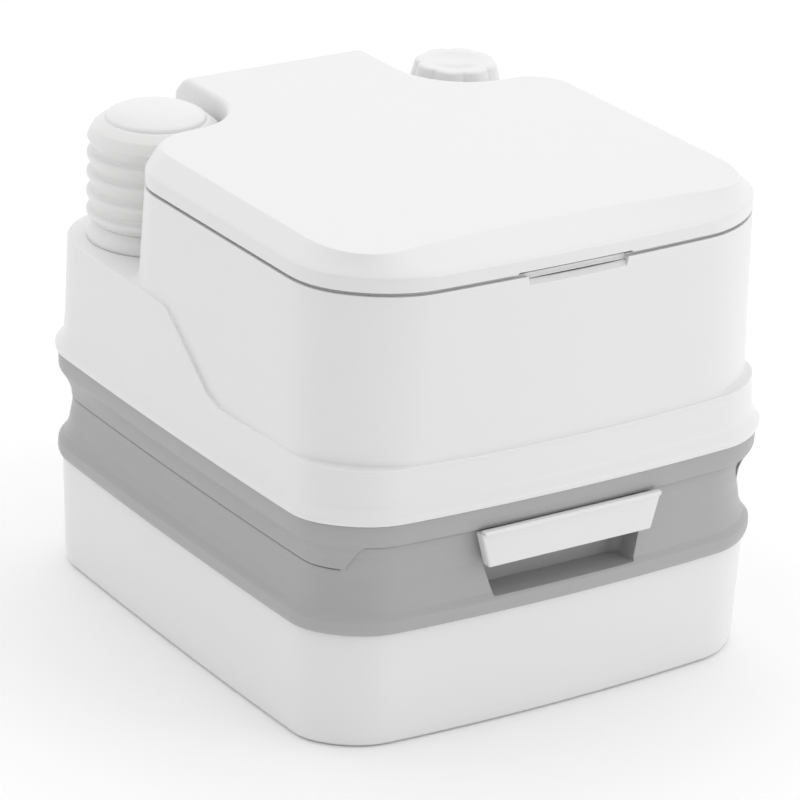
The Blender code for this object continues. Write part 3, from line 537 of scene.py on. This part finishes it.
def base_tray():
    chain = rounded([
        (24, Z_PLATE + 3, 0, 0), (6, Z_PLATE + 3, 2, 3), (6, Z_TRAY_TOP, 0.4, 2), (2.0, Z_TRAY_TOP, 0.8, 3),
        (2.4, 135.4, 4, 5), (5.6, 129.2, 4, 5), (8.0, 120, 12, 4), (8.5, Z_SKIRT, 1.0, 4),
        (12.2, Z_SKIRT, 0.4, 2), (12.0, 122, 0, 0), (9.8, Z_PLATE, 0.4, 2), (24, Z_PLATE, 0, 0)],
        closed=False)
    tray = waisted("tray_shell", chain)
    cut(tray, prism("apron_cut", apron_ends(0.0, 90), "Y", -250, -120),
        rod("tray_outlet", 51, OUTLET, 100, 160, steps=ROUND))
    side = rounded([(-112, 95, 0, 0), (44, 95, 0, 0), (44, 132, 5, 5), (-112, 132, 5, 5)])
    cut(tray, prism("spout_window", side, "Y", 140, 230))
    place(tray, GREY, "upper_unit", ["base_tray"])


def pull_handle():
    """Valve pull: sloping ends, soft corners and a thin lip along the top."""
    low, high = PULL_LOW.z, PULL_HIGH.z
    face, back = PULL_LOW.y + 2.5, PULL_HIGH.y
    lip = high - 2.6

    def end_at(side, inset, z):
        """Sloping left (-1) or right (1) end at a height."""
        at_foot = 59.5 if side < 0 else 58.5
        return side * (at_foot + (z - low) * (0.29 if side < 0 else 0.26) - inset)

    rings = []
    for inset, y in rounded([(3.0, back, 0, 0), (0.0, back, 0.3, 2), (0.0, face, 1.5, 6), (14, face, 0, 0)],
                            closed=False):
        corners = [(end_at(-1, inset, low), low + inset, 1.2, 3),
                   (end_at(1, inset, low), low + inset, 1.2, 3),
                   (end_at(1, inset, lip), lip - 0.2 * inset, 0.4, 3),
                   (end_at(-1, inset, lip), lip - 0.2 * inset, 0.4, 3)]
        plan = rounded(corners, fill=3)
        rings.append(np.stack([plan[:, 0], np.full(len(plan), y), plan[:, 1]], 1))
    return loft("pull_handle", rings), face, lip


def valve_handle():
    pull, face, lip = pull_handle()
    low, high = PULL_LOW.z, PULL_HIGH.z
    bead = prism("lip", rounded([(face - 2.3, lip - 0.4, 1.1, 4), (face + 2.4, lip - 0.4, 0.2, 2),
                                 (face + 2.4, high, 1.0, 3), (face - 2.3, high, 1.2, 4)]), "X", -80, 80)
    ends = [(-64.2, lip - 4), (61.6, lip - 4), (63.4, high + 2), (-66.0, high + 2)]
    weld(pull, keep_inside(bead, prism("lip_ends", ends, "Y", face - 20, face + 20)))
    cut(pull, block("finger_space", (-54, 54), (face + 3.2, 0), (low - 5, 114.5)))
    place(pull, WHITE, "slide_valve", ["valve_handle"])


# ---------------------------------------------------------------- upper tank

RIM_DROP = 1.5              # how far the pump deck slopes down to its outer edge
LEDGE_INSET = 7.0           # how far the ledge's edge stands back from the widest plan
LIP_R = 0.5                 # rounding of that edge
Z_WALL = 172.0              # top of the wall below the ledge
WALL_INSET = 6.1
DECK_INSET = 12.5           # where the ledge turns level behind its edge
LEDGE = rounded([(-400, Z_LEDGE, 0, 0), (-43, Z_LEDGE + 2, 24, 8), (14, Z_PUMP_DECK - RIM_DROP, 16, 8),
                 (400, Z_PUMP_DECK - RIM_DROP, 0, 0)], closed=False)


def ledge_height(points):
    """Height of the contour line: low along the front, ramping up to the pump deck."""
    x, y = points.T
    corner_rise = 2.0 * np.clip(np.abs(x) / HALF_W, 0, 1) ** 2 * smooth((-60 - y) / 60)
    return np.interp(y, LEDGE[:, 0], LEDGE[:, 1]) + corner_rise


def tank_skirt():
    """Tank below the contour line, from the flared flange to the ledge."""
    wall = rounded([(30, Z_FLANGE, 0, 0), (0.5, Z_FLANGE, 0.7, 3), (-0.1, 150.6, 2.2, 5), (4.8, 157.4, 6, 6),
                    (5.7, 166, 20, 3), (WALL_INSET, Z_WALL, 0, 0)], closed=False)
    rings = [level(tank_plan(inset), z) for inset, z in wall]
    for share in (0.25, 0.5, 0.75):
        plan = tank_plan(WALL_INSET + 0.9 * share)
        rings.append(level(plan, Z_WALL + (ledge_height(plan) - 1.2 - Z_WALL) * share))
    edge = tank_plan(LEDGE_INSET)
    lean = np.interp(ledge_height(edge), (Z_LEDGE, Z_PUMP_DECK), (6.2, 7.1))
    for step in range(5):
        turn = math.pi / 2 * step / 4
        plan = outwards(edge, LEDGE_INSET - lean - LIP_R * (1 - math.cos(turn)))
        rings.append(level(plan, ledge_height(plan) - LIP_R * (1 - math.sin(turn))))

    def deck_height(plan):
        height = ledge_height(plan)
        return height + RIM_DROP * smooth((height - Z_LEDGE - 10) / 25)

    rim = tank_plan(DECK_INSET)
    rings.append(level(rim, deck_height(rim)))
    centre = np.array((0.0, 60.0))
    for share in (0.1, 0.25, 0.4, 0.6, 0.8, 0.97):
        plan = centre + (rim - centre) * (1 - share)
        rings.append(level(plan, deck_height(plan)))
    return loft("tank_skirt", rings)


def deck_block():
    """Upright block under the seat, with fillets where it stands on the ledge and the rear decks."""
    top = deck_plan(rear=DECK_REAR)
    bottom = deck_plan(side=-0.6, front=-0.3, rear=DECK_REAR, radius=56, bow=BOW_FRONT, heel=HEEL_LOW)
    x, y = top.T
    at_rear = smooth((y - 20) / 30)
    clear_of_side = smooth((DECK_W - 1.0 - np.abs(x)) / 12)
    behind = at_rear * clear_of_side
    deck = np.where(x < 0, Z_PUMP_DECK, Z_CAP_DECK)
    ledge = ledge_height(top)
    foot = np.where(behind > 0.02, np.maximum(ledge, deck), ledge)
    radius = 1.2 + 2.6 * behind
    rings = [level(outwards(bottom, radius), 160.0), level(outwards(bottom, radius), foot - 2)]

    def walls(z):
        """Plan at a height, on the way from the bottom plan to the top one."""
        share = ((z - Z_BLEND) / (Z_DECK - Z_BLEND))[:, None]
        return bottom * (1 - share) + top * share

    for step in range(6):
        turn = math.pi / 2 * step / 5
        z = foot + radius * (1 - math.cos(turn))
        rings.append(level(outwards(walls(z), radius * (1 - math.sin(turn))), z))
    start, edge = rings[-1][:, 2], Z_DECK - 0.9
    for climb in (0.15, 0.3, 0.45, 0.6, 0.75, 0.9, 1.0):
        z = start + (edge - LIP_R - start) * climb
        rings.append(level(walls(z), z))
    for step in range(1, 6):
        turn = math.pi / 2 * step / 5
        rings.append(level(outwards(top, -LIP_R * (1 - math.cos(turn))), edge - LIP_R * (1 - math.sin(turn))))
    rings.append(level(outwards(top, -3.4), edge))
    rings.append(level(outwards(top, -3.8), Z_DECK))
    return loft("deck_block", rings)


def rear_deck(name, x, south, inset, low, high, radius):
    """Raised rear platform with a rounded outer edge, which carries the pump or the filler."""
    west, east = x
    w, r = HALF_W - inset, REAR - inset

    def plan(more):
        left = max(west, -w) + (more if west < -100 else 0)
        right = min(east, w) - (more if east > 100 else 0)
        corners = [(left, south, 0, 0), (right, south, 0, 0),
                   (right, r - more, R_REAR - inset - more if east > 100 else 1, ARC),
                   (left, r - more, R_REAR - inset - more if west < -100 else 1, ARC)]
        return bowed(rounded(corners, fill=16), w, FRONT, r - more, 0, BOW_REAR, SIDE_BOW)

    chain = rounded([(0, low, 0, 0), (0.6, high, radius, 6), (12, high, 0, 0)], closed=False)
    return loft(name, [level(plan(more), z) for more, z in chain])


def hinge_lug(x):
    """Upright arch round the hinge line."""
    outline = rounded([(HINGE_Y - 6.2, Z_RECESS - 1, 0, 0), (HINGE_Y + 6.2, Z_RECESS - 1, 0, 0),
                       (HINGE_Y + 6.2, HINGE_Z + 6.2, 6.1, 10), (HINGE_Y - 6.2, HINGE_Z + 6.2, 6.1, 10)])
    return prism("hinge_lug", outline, "X", *sorted(x))


def upper_tank():
    tank = tank_skirt()
    weld(tank, deck_block(),
         rear_deck("cap_deck", (64, 200), 20, 10.9, 190, Z_CAP_DECK, 2.6))
    neck = [(24.5, Z_CAP_DECK - 6), (24.5, 289.4), (24.1, 290), (21.9, 290), (21.5, 289.6),
            (21.5, Z_CAP_DECK - 6)]
    weld(tank, turned("filler_neck", neck, (FILLER.x, FILLER.y, 0)))
    hollow = deck_plan(side=3, front=3, back=3, tongue=3, rear=DECK_REAR - 3, radius=DECK_R - 3)
    cut(tank, prism("deck_hollow", hollow, "Z", 140, Z_DECK - 3))
    chain = [(5.5, 140), (8.8, 158), (12.6, 176), (12.6, 176.5)]
    cut(tank, shell("skirt_hollow", tank_plan, chain))
    cut(tank, rear_deck("rear_hollow", (-200, 200), 30, 14.6, 150, Z_PUMP_DECK - 3, 1.0),
        rear_deck("cap_hollow", (68, 200), 30, 14.6, 150, Z_CAP_DECK - 3, 1.0))
    cut(tank, rod("filler_bore", 21.5, (FILLER.x, FILLER.y), 250, Z_CAP_DECK + 3, steps=ROUND),
        rod("pump_bore", 11.5, (PUMP.x, PUMP.y), 210, 240),
        prism("seat_opening", oval(BOWL_W, BOWL_L, (0, BOWL_CENTRE)), "Z", 270, 300))
    weld(tank, block("hinge_bed", (-65, 67), (147, 177), (Z_RECESS - 2.5, Z_DECK - 1)))
    cut(tank, block("hinge_recess", (-80, 80), (150, 200), (Z_RECESS, 300)))
    for side in (-1, 1):
        weld(tank, hinge_lug((side * 30, side * 38)), hinge_lug((side * 58.4, side * 63.2)))
    cut(tank, rod("pin_bore", R_PIN_BORE, (HINGE_Y, HINGE_Z), -80, 80, "X", 20))
    cut(tank, finger_scoop())
    place(tank, WHITE, "upper_unit", ["upper_tank"])


def finger_scoop():
    """Shallow slanting dip under the lid's front edge."""
    side_view = rounded([(-205, 279, 0, 0), (-183.4, 279.3, 0, 0), (-178.2, 285.6, 3, 4), (-178.2, 300, 0, 0),
                         (-205, 300, 0, 0)])
    scoop = prism("finger_scoop", side_view, "X", -60, 60)
    front_view = rounded([(-34.5, 279, 3, 5), (34.5, 279, 3, 5), (38.5, 300, 0, 0), (-38.5, 300, 0, 0)])
    return keep_inside(scoop, prism("scoop_ends", front_view, "Y", -230, -150))


def bowl():
    """Funnel from the oval opening down to the round outlet."""
    turn = np.arange(ROUND) * (2 * math.pi / ROUND)
    ray = np.stack([np.cos(turn), np.sin(turn)], 1)

    def section(share, grow):
        rim = np.array((0, BOWL_CENTRE)) + ray * (BOWL_W + grow, BOWL_L + grow)
        throat = OUTLET + ray * (R_OUTLET + grow)
        return throat + (rim - throat) * share

    wall = rounded([(0.0, 128.3, 0, 0), (0.0, 150, 20, 6), (0.5, 190, 60, 4), (0.86, 240, 80, 4),
                    (0.97, 279.5, 0, 0)], closed=False, fill=2)
    rings = [level(section(share, 2.8), z) for share, z in wall]
    brim = ((4, 280.4), (10, 280.6), (10, 283.6), (1.5, 283.6))
    rings += [level(section(1.0, grow), z) for grow, z in brim]
    rings += [level(section(1.0, 0.0), 282.4)]
    rings += [level(section(share, 0.0), z) for share, z in wall[::-1]]
    made = loft("bowl_shell", rings, ring_shaped=True)
    cut(made, rod("nozzle_bore", 5.4, (0, 268), 40, 90, "Y", 24))
    place(made, BOWL_WHITE, "upper_unit", ["bowl"])


# ---------------------------------------------------------------- lid and seat

CREASE = {"side": 12.8, "front": 27.3, "radius": 38.8, "bow": -11.7}


def lid_ring(share, wall_inset, z, shrink=0.0):
    """Lid outline part of the way from its edge (0) to its crease (1); walls move by wall_inset."""
    return level(outwards(deck_plan(
        side=CREASE["side"] * share, front=CREASE["front"] * share, back=wall_inset, tongue=wall_inset,
        rear=TONGUE_REAR - TONGUE_SLOPE * min(share, 1.0) - wall_inset,
        radius=DECK_R + (CREASE["radius"] - DECK_R) * share,
        bow=DECK_BOW + (CREASE["bow"] - DECK_BOW) * share), -shrink), z)


def lid():
    top_r, skin = 3.6, 2.6
    rings = []
    inner = [(1.05, skin, Z_TOP - skin), (0.9, skin, Z_TOP - skin - 0.4), (0.0, skin, Z_LID_EDGE - 2.4)]
    for share, walls, z in inner:
        rings.append(lid_ring(share, walls, z, skin if share < 0.5 else 1.0))
    rings.append(lid_ring(0, 0, Z_LID + 0.6, skin))
    rings.append(lid_ring(0, 0, Z_LID, skin - 0.5))
    for step in range(5):
        turn = math.pi / 2 * step / 4
        rings.append(lid_ring(0, 0, Z_LID + 0.5 * (1 - math.cos(turn)), 0.5 * (1 - math.sin(turn))))
    rings.append(lid_ring(0, 0, Z_LID + 3))

    slope = Z_TOP - Z_LID_EDGE

    def walls_at(z):
        rise = max(z - (Z_TOP - top_r), 0.0) / top_r
        return top_r * (1 - math.sqrt(max(1 - rise * rise, 0.0)))

    rings.append(lid_ring(0, 0, Z_LID_EDGE - 1.1))
    rings.append(lid_ring(0.008, 0, Z_LID_EDGE - 0.3))
    rings.append(lid_ring(0.04, 0, Z_LID_EDGE + 0.3))
    for share in (0.10, 0.25, 0.45, 0.65, 0.80, 0.90, 0.96):
        rings.append(lid_ring(share, walls_at(Z_LID_EDGE + slope * share), Z_LID_EDGE + slope * share))
    start, end = 0.985, 1.015
    for step in range(1, 6):
        t = step / 5
        share = start * (1 - t) ** 2 + 2 * t * (1 - t) + end * t * t
        z = (Z_LID_EDGE + slope * start) * (1 - t) ** 2 + Z_TOP * (2 * t * (1 - t) + t * t)
        rings.append(lid_ring(share, walls_at(z), z))
    rings.append(lid_ring(1.22, top_r, Z_TOP))
    rings.append(lid_ring(1.22, top_r, Z_TOP, 1.5))
    made = loft("lid_shell", rings)
    for side in (-1, 1):
        for low, high in ((29.3, 38.7), (57.7, 63.8)):
            span = sorted((side * low, side * high))
            cut(made, block("lug_notch", span, (HINGE_Y + 2, HINGE_Y + 30), (280, 302)))
        span = sorted((side * 39.2, side * 48.8))
        strap = rounded([(HINGE_Y - 17, HINGE_Z + 14.3, 0, 0), (HINGE_Y - 17, HINGE_Z + 3, 0, 0),
                         (HINGE_Y - 3, HINGE_Z - 3, 0, 0), (HINGE_Y + 3.5, HINGE_Z + 3.2, 1, 3),
                         (HINGE_Y + 2, HINGE_Z + 6.4, 0, 0), (HINGE_Y - 4, HINGE_Z + 13.6, 0, 0)])
        weld(made, prism("lid_strap", strap, "X", *span),
             rod("lid_barrel", R_BARREL, (HINGE_Y, HINGE_Z), *span, "X", 48))
    notch = rounded([(-42, 286, 0, 0), (38, 286, 0, 0), (40, 289.6, 1.2, 4), (-44, 289.6, 1.2, 4)])
    cut(made, rod("lid_bore", R_PIN_BORE, (HINGE_Y, HINGE_Z), -50, 50, "X", 20),
        prism("lid_notch", notch, "Y", -200, -179))
    place(made, WHITE, "lid", ["lid"])


def seat():
    """Seat ring with a crowned top, two arms and their hinge barrels."""
    low, crown = 289.0, 299.0

    def plan(inset):
        w, f, r = 154.0 - inset, 174.0 - inset, 62.0 - inset
        corners = [(-w, -f, 56 - inset, ARC), (w, -f, 56 - inset, ARC),
                   (w, r, 30 - inset, 10), (-w, r, 30 - inset, 10)]
        return bowed(rounded(corners, fill=16), w, f, 600, DECK_BOW, 0, 0)

    chain = rounded([(16, low, 0, 0), (0, low, 1.0, 3), (0, crown - 7, 5, 5), (4.5, crown - 3, 6, 4),
                     (15, crown, 10, 5), (22, crown, 0, 0)], closed=False)
    made = shell("seat_ring", plan, chain)
    for side in (-1, 1):
        span = sorted((side * 50.2, side * 57.8))
        weld(made, block("seat_arm", span, (40, HINGE_Y), (low, 295), 0),
             rod("seat_barrel", R_BARREL, (HINGE_Y, HINGE_Z), *span, "X", 48))
    hole = rounded([(0, 280, 0, 0), (0, 292, 5, 5), (2.5, 297, 5, 5), (9, 301, 0, 0)], closed=False)
    cut(made, loft("seat_hole", [level(oval(89 + a, 109 + a, (0, BOWL_CENTRE)), z) for a, z in hole]),
        rod("seat_bore", R_PIN_BORE, (HINGE_Y, HINGE_Z), -80, 80, "X", 20))
    for x, y in ((-122, -135), (122, -135), (-122, 35), (122, 35)):
        cut(made, rod("foot_bore", 2.4, (x, y), 280, 294, steps=20))
    place(made, WHITE, "seat", ["seat"])


# ---------------------------------------------------------------- pump and filler

def pump():
    centre = (PUMP.x, PUMP.y, 0)
    low, high = node_box("pump_collar")[0].z, node_box("pump_collar")[1].z
    collar = rounded([(29, low + 6.1, 0.3, 2), (37.5, low + 6.1, 0.3, 2), (37.5, high, 0.3, 2),
                      (38.8, high, 0.5, 3), (41.6, low + 5.4, 2.0, 5), (42.4, low + 2.4, 2.0, 4),
                      (42.6, low, 0.3, 2), (29, low, 0.3, 2)])
    place(turned("collar", collar, centre), WHITE, "upper_unit", ["pump_collar"])

    base, top = node_box("pump_bellows")[0].z, node_box("pump_bellows")[1].z
    ridge, valley = 42.8, 39.2
    outer = [(26.8, top - 2.6, 0.4, 3), (28.4, top, 0.6, 3), (33.2, top, 3.0, 5), (39.4, top - 4.8, 4.0, 6),
             (ridge, top - 11.7, 1.8, 6)]
    for fold in FOLDS:
        outer += [(valley, fold + 4.6, 1.2, 5), (valley + 0.7, fold + 2.6, 0.6, 3),
                  (ridge, fold + 1.3, 1.0, 5), (ridge, fold - 1.2, 1.4, 5)]
    outer += [(39.0, 236.3, 0.3, 3), (38.6, 236.1, 0.1, 2), (37.1, 236.1, 0.1, 2),
              (37.1, base, 0.3, 2)]
    skin = [(34.6, base, 0.3, 2), (34.6, 236.0, 1.0, 3), (37.6, 240.0, 1.0, 3), (37.6, 290.0, 3.0, 4),
            (36.0, 295.4, 3.0, 4), (27.0, 297.4, 2.0, 3), (0.0, 297.4, 0, 0)]
    profile = rounded([(0.0, top - 2.6, 0, 0)] + outer + skin, closed=False)
    bellows = turned("bellows_skin", profile, centre)
    place(bellows, SOFT_WHITE, "upper_unit", ["pump_bellows"], sharp=60)
    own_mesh(bellows)

    rim, hub = top - 0.2, top - 1.0
    dome = rounded([(0.0, BUTTON_TOP, 0, 0), (12, BUTTON_TOP - 0.3, 40, 6), (24, BUTTON_TOP - 2.0, 26, 8),
                    (31.2, BUTTON_TOP - 5.6, 3.0, 8), (31.8, rim, 0.3, 3), (27.9, rim, 0.2, 2),
                    (26.4, hub, 0.2, 2), (0.0, hub, 0, 0)], closed=False)
    place(turned("press_dome", dome, centre), WHITE, "pump_button", ["pump_button"], sharp=60)


def lobed(radius, lobes, depth, steps):
    turn = np.arange(steps) * (2 * math.pi / steps)
    dip = np.abs(np.cos(lobes * turn / 2)) ** 0.7
    return np.stack([np.cos(turn), np.sin(turn)], 1) * (radius - depth * (1 - dip))[:, None]


def filler_cap():
    """Screw cap with eight lobes round a tapering skirt."""
    low, high = CAP_LOW.z, CAP_HIGH.z
    centre = np.array((FILLER.x, FILLER.y))
    steps = 192
    bore = oval(25.4, 25.4, centre, steps)
    rings = [level(bore, 294.5), level(bore, low + 0.5), level(bore, low)]
    outer = rounded([(32.2, low, 0.6, 3), (32.8, low + 2.0, 1.0, 3), (29.6, 292, 30, 4),
                     (26.6, high - 0.2, 2.4, 7), (19.0, high, 0, 0)], closed=False, fill=2)
    for radius, z in outer:
        depth = 2.6 * smooth((radius - 19.5) / 6) * (0.35 + 0.65 * smooth((z - low) / 24))
        rings.append(level(centre + lobed(radius, 8, depth, steps), z))
    rings.append(level(oval(16, 16, centre, steps), high))
    rings.append(level(oval(15, 15, centre, steps), high - 0.5))
    place(loft("filler_cap_shell", rings), WHITE, "filler_cap", ["filler_cap"], sharp=45)


# ---------------------------------------------------------------- nodes that stay as they are

def finish_nodes():
    """Give the remaining CAD nodes their finish."""
    looks = {
        RUBBER: ["valve_seal", "bowl_seal", "spout_gasket", "vent_seal", "filler_gasket",
                 "lid_foot_1", "lid_foot_2"],
        CLEAR: ["valve_blade", "suction_tube", "flush_hose"],
        STEEL: ["hinge_pin_left", "hinge_pin_right", "latch_pin", "vent_spring"],
        DARK_GREY: ["valve_frame", "pump_valve", "pour_spout", "spout_cap", "spout_ring", "vent_button"],
        GREY: ["release_latch"],
        BOWL_WHITE: ["flush_nozzle"],
    }
    looks[RUBBER] += [f"seat_foot_{k}" for k in range(1, 5)]
    looks[STEEL] += [f"valve_screw_{k}" for k in range(1, 7)]
    for look, names in looks.items():
        for name in names:
            made = frame["nodes"][name]
            made.data.materials.clear()
            made.data.materials.append(look)


# ---------------------------------------------------------------- studio

def studio():
    """White room: even light all round, less of it from the front left, and two soft lamps."""
    half, below = 6, 0.0004      # metres; the floor lies just clear of the tank's flat foot
    corners = [(x, y, -below) for x, y in ((-half, -half), (half, -half), (half, half), (-half, half))]
    floor = new_object("floor", corners, [(0, 1, 2, 3)])
    look, _, _, shader = nodes_of("pale_floor")
    shader.inputs["Base Color"].default_value = (1.0, 1.0, 1.0, 1)
    shader.inputs["Roughness"].default_value = 0.7
    floor.data.materials.append(look)

    world = bpy.data.worlds.new("studio")
    world.use_nodes = True
    nodes, links = world.node_tree.nodes, world.node_tree.links
    where = nodes.new("ShaderNodeTexCoord")
    towards = nodes.new("ShaderNodeVectorMath")
    towards.operation = "DOT_PRODUCT"
    towards.inputs[1].default_value = Vector((-0.62, -0.75, 0.0)).normalized()
    amount = nodes.new("ShaderNodeMapRange")
    amount.interpolation_type = "SMOOTHSTEP"
    amount.inputs["From Min"].default_value = 0.35
    amount.inputs["From Max"].default_value = 1.0
    amount.inputs["To Min"].default_value = 1.0
    amount.inputs["To Max"].default_value = 0.45
    links.new(where.outputs["Generated"], towards.inputs[0])
    links.new(towards.outputs["Value"], amount.inputs["Value"])
    links.new(amount.outputs["Result"], nodes["Background"].inputs["Strength"])
    nodes["Background"].inputs["Color"].default_value = (1, 1, 1, 1)
    bpy.context.scene.world = world
    bpy.context.scene.view_settings.view_transform = "Standard"

    target = Vector((0, 0, 0.15))
    for name, spot, size, power in (
            ("top_softbox", (0.1, 0.2, 1.7), 1.6, 4),
            ("right_softbox", (1.3, -1.6, 0.6), 1.2, 4)):
        light = bpy.data.lights.new(name, "AREA")
        light.shape = "SQUARE"
        light.size = size
        light.energy = power
        lamp = bpy.data.objects.new(name, light)
        lamp.location = spot
        lamp.rotation_euler = (Vector(spot) - target).to_track_quat("Z", "Y").to_euler()
        bpy.context.scene.collection.objects.link(lamp)


def camera():
    """Camera at the angle, distance and lens that frame the object as in the photograph."""
    azimuth, elevation, roll = (math.radians(a) for a in (-34.07, 22.73, 2.37))
    distance, focal, sensor = 2.728, 194.83, 36.0
    target = Vector((0.0018, (0.94 + SHIFT_Y) * MM, 0.1330))
    back = Vector((math.sin(azimuth) * math.cos(elevation), -math.cos(azimuth) * math.cos(elevation),
                   math.sin(elevation)))
    right = (-back).cross(Vector((0, 0, 1))).normalized()
    up = right.cross(-back)
    across = right * math.cos(roll) + up * math.sin(roll)
    upright = up * math.cos(roll) - right * math.sin(roll)
    data = bpy.data.cameras.new("camera")
    data.lens, data.sensor_width = focal, sensor
    data.clip_start, data.clip_end = 0.05, 50
    made = bpy.data.objects.new("camera", data)
    made.matrix_world = Matrix((
        (across.x, upright.x, back.x, 0), (across.y, upright.y, back.y, 0),
        (across.z, upright.z, back.z, 0), (0, 0, 0, 1)))
    made.location = target + back * distance
    bpy.context.scene.collection.objects.link(made)
    bpy.context.scene.camera = made


camera()
waste_tank_base()
waste_tank_top()
base_tray()
valve_handle()
upper_tank()
bowl()
lid()
seat()
pump()
filler_cap()
finish_nodes()
studio()
